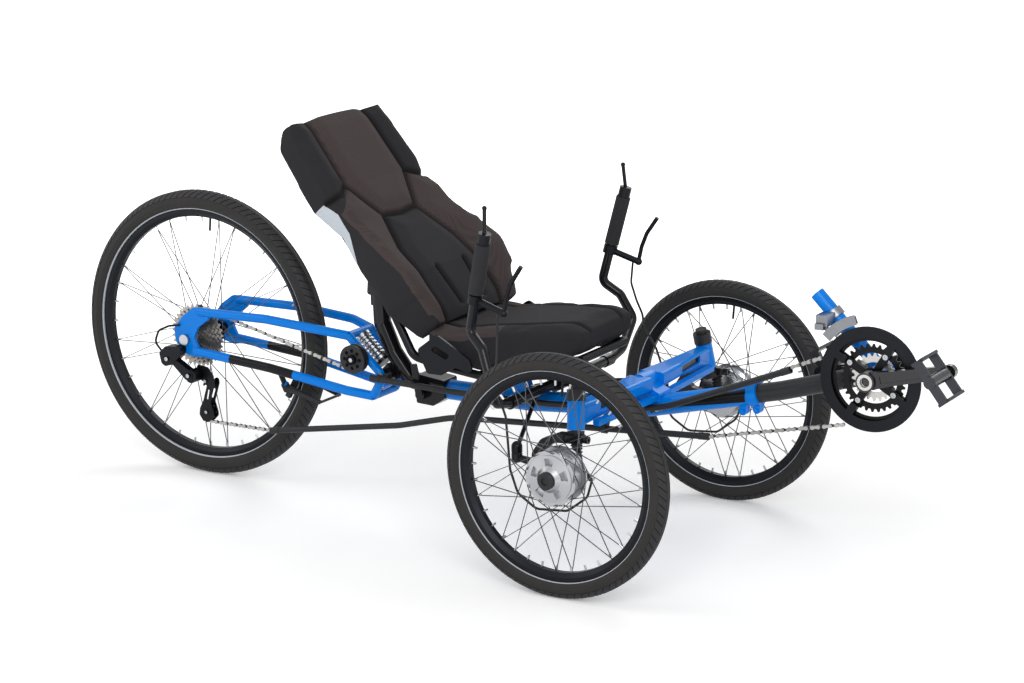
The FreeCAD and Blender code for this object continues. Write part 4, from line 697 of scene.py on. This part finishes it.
def back_cushion():
    """Seat back: a narrow head panel, two bolsters, two wings and a centre panel below."""
    piece = stuffed("back_cushion", "back_cushion_cover")
    out = Vector((math.sin(BACK_LEAN), 0, math.cos(BACK_LEAN)))
    shape_back(piece, out, Vector((-out.z, 0, out.x)))
    marks = {"groove": [], "mesh_panel": [], "silver_strip": []}
    puffs = []
    broad = evened(piece, [vertex.normal.dot(out) for vertex in piece.data.vertices])
    for vertex, even in zip(piece.data.vertices, broad):
        along, up, over = back_place(vertex.co)
        over = abs(over)
        facing = max(0.0, vertex.normal.dot(out))
        seam = max(nearness(along, over, line, GROOVE_REACH) for line in BACK_SEAMS + [BACK_SLIT])
        marks["groove"].append(seam * min(1.0, facing * 2))
        puff = 1 - max(nearness(along, over, line, PUFF_REACH) for line in BACK_SEAMS)
        puffs.append(puff * min(1.0, facing * 1.5))
        on_mesh = max(depth_inside(along, over, outline) for outline in BACK_MESH)
        marks["mesh_panel"].append(min(on_mesh, even + BACK_MESH_TURN))
        marks["silver_strip"].append(depth_inside(along, up, BACK_STRIP) if over > STRIP_Y else 0.0)
    for vertex, groove, puff in zip(piece.data.vertices, marks["groove"], puffs):
        vertex.co += out * (((puff - 0.5) * PUFF - groove * GROOVE_DEPTH) * MM)
    finish_cushion(piece, "back_cushion", marks)


def base_cushion():
    """Seat base: a flat centre and a raised pad along each side."""
    piece = stuffed("base_cushion", "base_cushion_cover")
    for vertex in piece.data.vertices:
        back = FRONT_AXLE - vertex.co.x / MM
        lift = ramp(back, *BASE_LIFT_BACK) * ramp(vertex.co.z / MM, *BASE_LIFT_Z)
        vertex.co.z += BASE_LIFT * lift * MM
    piece.data.update()
    marks = {"groove": [], "mesh_panel": []}
    broad = evened(piece, [vertex.normal.z for vertex in piece.data.vertices])
    for vertex, even in zip(piece.data.vertices, broad):
        x = vertex.co.x / MM - FRONT_AXLE
        over = abs(vertex.co.y / MM)
        facing = max(0.0, vertex.normal.z)
        marks["groove"].append(nearness(x, over, BASE_SEAM, GROOVE_REACH) * min(1.0, facing * 2))
        edge = min(BASE_MESH_X - x, over - BASE_MESH_Y) / EDGE_REACH
        marks["mesh_panel"].append(max(0.0, min(1.0, even + BASE_MESH_TURN, 0.5 + edge)))
    for vertex, groove in zip(piece.data.vertices, marks["groove"]):
        vertex.co.z -= groove * GROOVE_DEPTH * BASE_GROOVE_SHARE * MM
    finish_cushion(piece, "base_cushion", marks)


# What repeats: tread, nipples, bolts and chain links

class Tree(Nodes):
    """A geometry tree with named inputs; its last steps make real faces and give them a material."""

    def __init__(self, name, inputs):
        super().__init__(bpy.data.node_groups.new(name, "GeometryNodeTree"))
        face = self.tree.interface
        face.new_socket(name="Geometry", in_out="INPUT", socket_type="NodeSocketGeometry")
        self.keys = {}
        for label, kind in inputs.items():
            self.keys[label] = face.new_socket(name=label, in_out="INPUT", socket_type=kind).identifier
        face.new_socket(name="Geometry", in_out="OUTPUT", socket_type="NodeSocketGeometry")
        self.entry = self.tree.nodes.new("NodeGroupInput").outputs

    def index(self):
        return Value(self, self.node("GeometryNodeInputIndex", {}, {}).outputs[0])

    def model(self, label):
        """The mesh of the object given to an input."""
        return self.node("GeometryNodeObjectInfo", {}, [self.entry[label]]).outputs["Geometry"]

    def copies(self, sockets):
        return self.node("GeometryNodeInstanceOnPoints", {}, sockets).outputs[0]

    def finish(self, geometry):
        real = self.node("GeometryNodeRealizeInstances", {}, [geometry])
        faced = self.node("GeometryNodeSetMaterial", {},
                          {"Geometry": real.outputs[0], "Material": self.entry["Material"]})
        self.node("NodeGroupOutput", {}, [faced.outputs[0]])

    def grow(self, piece, settings):
        """Runs the tree on a piece, which keeps the plain mesh that comes out."""
        modifier = piece.modifiers.new("repeat", "NODES")
        modifier.node_group = self.tree
        for label, value in settings.items():
            modifier[self.keys[label]] = value
        apply_modifiers(piece)


def ring_tree():
    """Repeats the piece's own mesh about an axle along Y."""
    tree = Tree("repeat_about_axle", {"Count": "NodeSocketInt", "Centre": "NodeSocketVector",
                                      "Step": "NodeSocketFloat", "Start": "NodeSocketFloat",
                                      "Material": "NodeSocketMaterial"})
    entry = tree.entry
    points = tree.node("GeometryNodePoints", {}, {"Count": entry["Count"], "Position": entry["Centre"]})
    turn = tree.node("ShaderNodeCombineXYZ", {}, {"Y": tree.index() * entry["Step"] + entry["Start"]})
    tree.finish(tree.copies({"Points": points.outputs[0], "Instance": entry["Geometry"],
                             "Rotation": turn.outputs[0]}))
    return tree


def scatter_tree():
    """Puts one object on every point of the piece, each as large as its size there."""
    tree = Tree("fasteners", {"Head": "NodeSocketObject", "Material": "NodeSocketMaterial"})
    size = tree.node("GeometryNodeInputNamedAttribute", {"data_type": "FLOAT"}, ["size"])
    tree.finish(tree.copies({"Points": tree.entry["Geometry"], "Instance": tree.model("Head"),
                             "Scale": size.outputs[0]}))
    return tree


def chain_tree():
    """Lays wide and narrow links in turn along the piece's lines."""
    tree = Tree("chain_links", {"Pitch": "NodeSocketFloat", "Wide": "NodeSocketObject",
                                "Narrow": "NodeSocketObject", "Material": "NodeSocketMaterial"})
    curve = tree.node("GeometryNodeMeshToCurve", {}, [tree.entry["Geometry"]])
    stepped = tree.node("GeometryNodeResampleCurve", {"mode": "LENGTH"},
                        {"Curve": curve.outputs[0], "Length": tree.entry["Pitch"]})
    tangent = tree.node("GeometryNodeInputTangent", {}, {})
    turn = tree.node("FunctionNodeAlignRotationToVector", {"axis": "X"}, {"Vector": tangent.outputs[0]})
    index = tree.index()
    odd = index.maths("MODULO", index, 2.0)
    both = tree.node("GeometryNodeJoinGeometry", {}, {})
    for label, chosen in (("Wide", odd > 0.5), ("Narrow", odd < 0.5)):
        laid = tree.copies({"Points": stepped.outputs[0], "Selection": chosen,
                            "Instance": tree.model(label), "Rotation": turn.outputs[0]})
        tree.connect(laid, both.inputs[0])
    tree.finish(both.outputs[0])
    return tree


def circle(x, z, radius, count):
    return [(x + radius * math.cos(math.tau * step / count), z + radius * math.sin(math.tau * step / count))
            for step in range(count)]


def prism(outline, low, high, upright=False):
    """Corners and faces of an outline in X and Z drawn out along Y, or in X and Y along Z if upright."""
    count = len(outline)
    corners = [(a, b, end) if upright else (a, end, b) for end in (low, high) for a, b in outline]
    faces = [tuple(range(count)), tuple(range(count, 2 * count))]
    for index in range(count):
        after = (index + 1) % count
        faces.append((index, after, count + after, count + index))
    return corners, faces


def joined(solids):
    """Several sets of corners and faces as one."""
    corners = []
    faces = []
    for more, sides in solids:
        faces += [tuple(index + len(corners) for index in side) for side in sides]
        corners += more
    return corners, faces


RING = ring_tree()


def repeated(name, body, slot, template, count, centre, start=0.0):
    """A template given about the origin, repeated about an axle, riding on a body."""
    piece = shape(name, *template)
    RING.grow(piece, {"Count": count, "Centre": tuple(centre), "Start": start, "Step": math.tau / count,
                      "Material": FINISHES[slot]})
    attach(piece, body)


TREAD_ROWS = 4
TREAD_LEAN = (24, 72)
TREAD_FOOT = -0.6
TREAD_HEIGHT = 0.9
TREAD_SHARE = 0.82
TREAD_SLANT = 0.9
NIPPLE_OUTLINE = [(-2.0, -1.2), (-1.0, -2.2), (1.0, -2.2), (2.0, -1.2), (2.0, 1.2), (1.0, 2.2), (-1.0, 2.2),
                  (-2.0, 1.2)]
NIPPLE_INSIDE = 11.0
NIPPLE_IN_RIM = 1.0
VALVE_R = 2.6
VALVE_SIDES = 8
VALVE_INSIDE = 30.0
VALVE_IN_RIM = 2.0
VALVE_TURN = 0.087
BOLT_SIDES = 12
BOLT_HOLE_SHARE = 0.5
RING_BOLT_COUNT = 4
RING_BOLT_R = 5.5
RING_BOLT_Y = (-55.5, -59.5)
RING_BOLT_REACH = 52.6
# Bolt heads along Y on the rear derailleur, as (x, y of the face they sit on, z, radius)
BOLTS = [(-1154, -99.8, 280, 4.5), (-1096, -99.8, 248, 4.5), (-1127, -91.8, 301, 6.5), (-1072, -70, 232, 3.6),
         (-1072, -70, 161, 3.6)]
BOLT_ENDS = (0.05, -0.4)


def tread_bar(outer_r, width, side, pitch):
    """One slanted bar on the shoulder of a tyre."""
    middle = outer_r - width / 2
    corners = []
    for row in range(TREAD_ROWS):
        share = row / (TREAD_ROWS - 1)
        lean = math.radians(TREAD_LEAN[0] + (TREAD_LEAN[1] - TREAD_LEAN[0]) * share)
        for height in (TREAD_FOOT, TREAD_HEIGHT):
            reach = width / 2 + height
            radius = middle + reach * math.sin(lean)
            for edge in (0.0, TREAD_SHARE):
                turn = pitch * (edge + share * TREAD_SLANT)
                corners.append((radius * math.sin(turn), side * reach * math.cos(lean),
                                radius * math.cos(turn)))
    last = 4 * (TREAD_ROWS - 1)
    faces = [(0, 1, 3, 2), (last, last + 1, last + 3, last + 2)]
    for low in range(0, last, 4):
        high = low + 4
        faces += [(low + 2, low + 3, high + 3, high + 2), (low, low + 2, high + 2, high),
                  (low + 1, low + 3, high + 3, high + 1), (low, low + 1, high + 1, high)]
    return corners, faces


def socket_bolt(radius, low, high, place):
    """A bolt head along Y with a hole in it, at a distance from the axle."""
    hole_r = radius * BOLT_HOLE_SHARE
    corners = []
    for ring_r, y in ((radius, low), (radius, high), (hole_r, high), (hole_r, (low + high) / 2)):
        corners += [(x, y, z) for x, z in circle(0, place, ring_r, BOLT_SIDES)]
    faces = [tuple(range(BOLT_SIDES)), tuple(range(3 * BOLT_SIDES, 4 * BOLT_SIDES))]
    for start in range(0, 3 * BOLT_SIDES, BOLT_SIDES):
        for index in range(BOLT_SIDES):
            here, after = start + index, start + (index + 1) % BOLT_SIDES
            faces.append((here, after, after + BOLT_SIDES, here + BOLT_SIDES))
    return corners, faces


def wheels():
    """Tread, spoke nipples and a valve on each wheel."""
    for name, _, body, centre, outer_r, width, count in WHEELS:
        bars = joined([tread_bar(outer_r, width, side, math.tau / count) for side in (1, -1)])
        repeated(name + "_tread", body, "tyre_rubber", bars, count, centre)
        rim_r = outer_r - width + RIM_OVERLAP - RIM_DEPTH
        nipple = prism(NIPPLE_OUTLINE, rim_r - NIPPLE_INSIDE, rim_r + NIPPLE_IN_RIM, upright=True)
        repeated(name + "_nipples", body, "steel", nipple, SPOKE_COUNT, centre)
        valve = prism(circle(0, 0, VALVE_R, VALVE_SIDES), rim_r - VALVE_INSIDE, rim_r + VALVE_IN_RIM,
                      upright=True)
        repeated(name + "_valve", body, "black_alloy", valve, 1, centre, VALVE_TURN)


def ring_bolts():
    """Four bolts that hold the rings to the spider."""
    repeated("ring_bolts", "cranks", "silver_alloy", socket_bolt(RING_BOLT_R, *RING_BOLT_Y, RING_BOLT_REACH),
             RING_BOLT_COUNT, at(BB_X, 0, BB_Z), SPIDER_TURN)


def fasteners():
    """Bolt heads on the rear derailleur's pivots and wheels."""
    head = shape("head", *socket_bolt(1.0, *BOLT_ENDS, 0.0))
    piece = mesh_piece("bolts_bare", [at(x, y, z) for x, y, z, radius in BOLTS], [], [])
    mark(piece, "size", [radius for x, y, z, radius in BOLTS])
    scatter_tree().grow(piece, {"Head": head, "Material": FINISHES["steel"]})
    bpy.data.objects.remove(head)
    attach(piece, "frame")


# Ends of the chain's four runs in view, and how far each starts inside its tube's mouth
CHAIN_RUNS = [((49, -36, 304), (424, -55, 462), 12.0), ((170, -55, 267), (448, -50, 326), 12.0),
              ((-903, -58, 138), (-1072, -58, 138), 12.0), ((-692, -66, 306), (-1085, -50, 396), 0.0)]
LINK_PLATE = 0.95
LINK_WAIST = 0.27
PIN_SIDES = 8
PIN_END = 0.3


def link(name, half, tall, pin_r, outer):
    """Two waisted plates and the pins or rollers through them."""
    outline = []
    for end, middle, waist in ((CHAIN_PITCH / 2, 0, LINK_WAIST), (-CHAIN_PITCH / 2, 180, -LINK_WAIST)):
        for turn in (-80, -40, 0, 40, 80):
            angle = math.radians(middle + turn)
            outline.append((end + tall / 2 * math.cos(angle), tall / 2 * math.sin(angle)))
        outline.append((0.0, tall * waist))
    solids = []
    for side in (1, -1):
        low, high = sorted((side * half, side * (half - LINK_PLATE)))
        solids.append(prism(outline, low, high))
    for end in (-CHAIN_PITCH / 2, CHAIN_PITCH / 2):
        solids.append(prism(circle(end, 0, pin_r, PIN_SIDES), -half - PIN_END, half + PIN_END))
    piece = shape(name, *joined(solids))
    # Outer links are marked 1; inner links, marked 0, take the painted shade
    mark(piece, "outer_link", [outer] * len(piece.data.vertices))
    return piece


def chain():
    """Single links along the four runs."""
    ends = []
    for start, end, hidden in CHAIN_RUNS:
        start, end = Vector(start), Vector(end)
        start -= (end - start).normalized() * hidden
        ends += [at(*start), at(*end)]
    lines = [(index, index + 1) for index in range(0, len(ends), 2)]
    piece = mesh_piece("chain_links", ends, lines, [])
    wide = link("wide_link", half=3.3, tall=8.4, pin_r=1.9, outer=1.0)
    narrow = link("narrow_link", half=2.3, tall=7.4, pin_r=3.0, outer=0.0)
    chain_tree().grow(piece, {"Pitch": CHAIN_PITCH * MM, "Wide": wide, "Narrow": narrow,
                              "Material": FINISHES["chain_steel"]})
    for used in (wide, narrow):
        bpy.data.objects.remove(used)
    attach(piece, "frame")
    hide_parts("chain")


# Floor, light and camera, in metres

CAMERA_AT = (2.74375, -4.49426, 1.65963)
CAMERA_TURN = math.radians(31.0078)
CAMERA_RISE = math.radians(13.5693)
CAMERA_ROLL = math.radians(-0.6806)
CAMERA_LENS = 90.988
CAMERA_SENSOR = 36.0
LAMP_AIM = (0, 0, 0.35)
# Each lamp: place, size and power
LAMPS = {"key_lamp": ((2.3, -3.6, 2.8), 2.6, 105.0), "fill_lamp": ((-3.6, -1.6, 2.6), 2.6, 40.0),
         "rim_lamp": ((-0.5, 3.6, 3.2), 2.4, 56.0)}
FLOOR_HALF = 30.0
# The floor shows its own light: this much near the middle, rising beyond a radius
FLOOR_GLOW = 0.18
FLOOR_GLOW_FROM = 1.2
FLOOR_GLOW_RISE = 0.5
# The world's strength as light, and how much more as what is seen
WORLD_LIGHT = 0.55
WORLD_SEEN = 0.45


def camera():
    """Looks at the trike from its right and front, as in the photograph."""
    back = Vector((math.sin(CAMERA_TURN) * math.cos(CAMERA_RISE),
                   -math.cos(CAMERA_TURN) * math.cos(CAMERA_RISE), math.sin(CAMERA_RISE)))
    right = Vector((0, 0, 1)).cross(back).normalized()
    over = back.cross(right)
    across = right * math.cos(CAMERA_ROLL) + over * math.sin(CAMERA_ROLL)
    upward = over * math.cos(CAMERA_ROLL) - right * math.sin(CAMERA_ROLL)
    data = bpy.data.cameras.new("camera")
    data.lens = CAMERA_LENS
    data.sensor_width = CAMERA_SENSOR
    eye = new_object("camera", data)
    turn = Matrix((across, upward, back)).transposed().to_4x4()
    eye.matrix_world = Matrix.Translation(CAMERA_AT) @ turn
    bpy.context.scene.camera = eye


def floor():
    """A plain pale floor that shows soft shadows and fades into the background."""
    corners = [(x * FLOOR_HALF, y * FLOOR_HALF, 0) for x, y in ((-1, -1), (1, -1), (1, 1), (-1, 1))]
    piece = mesh_piece("studio_floor", corners, [], [(0, 1, 2, 3)])
    finish = Finish("studio_floor_white", FLOOR_WHITE, 0.9, shine=0.0)
    across, over, up = finish.parts()
    away = ((across * across + over * over) ** 0.5 - FLOOR_GLOW_FROM).most(0.0)
    glow = finish.seen() * (away * FLOOR_GLOW_RISE + FLOOR_GLOW).least(1.0)
    grey = finish.node("ShaderNodeCombineXYZ", {}, [glow, glow, glow])
    finish.feed("Emission Color", grey.outputs[0])
    finish.shader.inputs["Emission Strength"].default_value = 1.0
    piece.data.materials.append(finish.material)


def light():
    """A pale world and three soft lamps."""
    world = bpy.data.worlds.new("studio_world")
    bpy.context.scene.world = world
    world.use_nodes = True
    sky = Nodes(world.node_tree)
    background = sky.tree.nodes["Background"]
    background.inputs["Color"].default_value = (1, 1, 1, 1)
    sky.connect((sky.seen() * WORLD_SEEN + WORLD_LIGHT).socket, background.inputs["Strength"])
    for name, (place, size, power) in LAMPS.items():
        data = bpy.data.lights.new(name, "AREA")
        data.size = size
        data.energy = power
        lamp = new_object(name, data)
        lamp.location = place
        lamp.rotation_euler = (Vector(LAMP_AIM) - Vector(place)).to_track_quat("-Z", "Y").to_euler()
    bpy.context.scene.view_settings.view_transform = "Standard"


camera()
floor()
light()
finish_frame()
back_cushion()
base_cushion()
wheels()
ring_bolts()
fasteners()
chain()
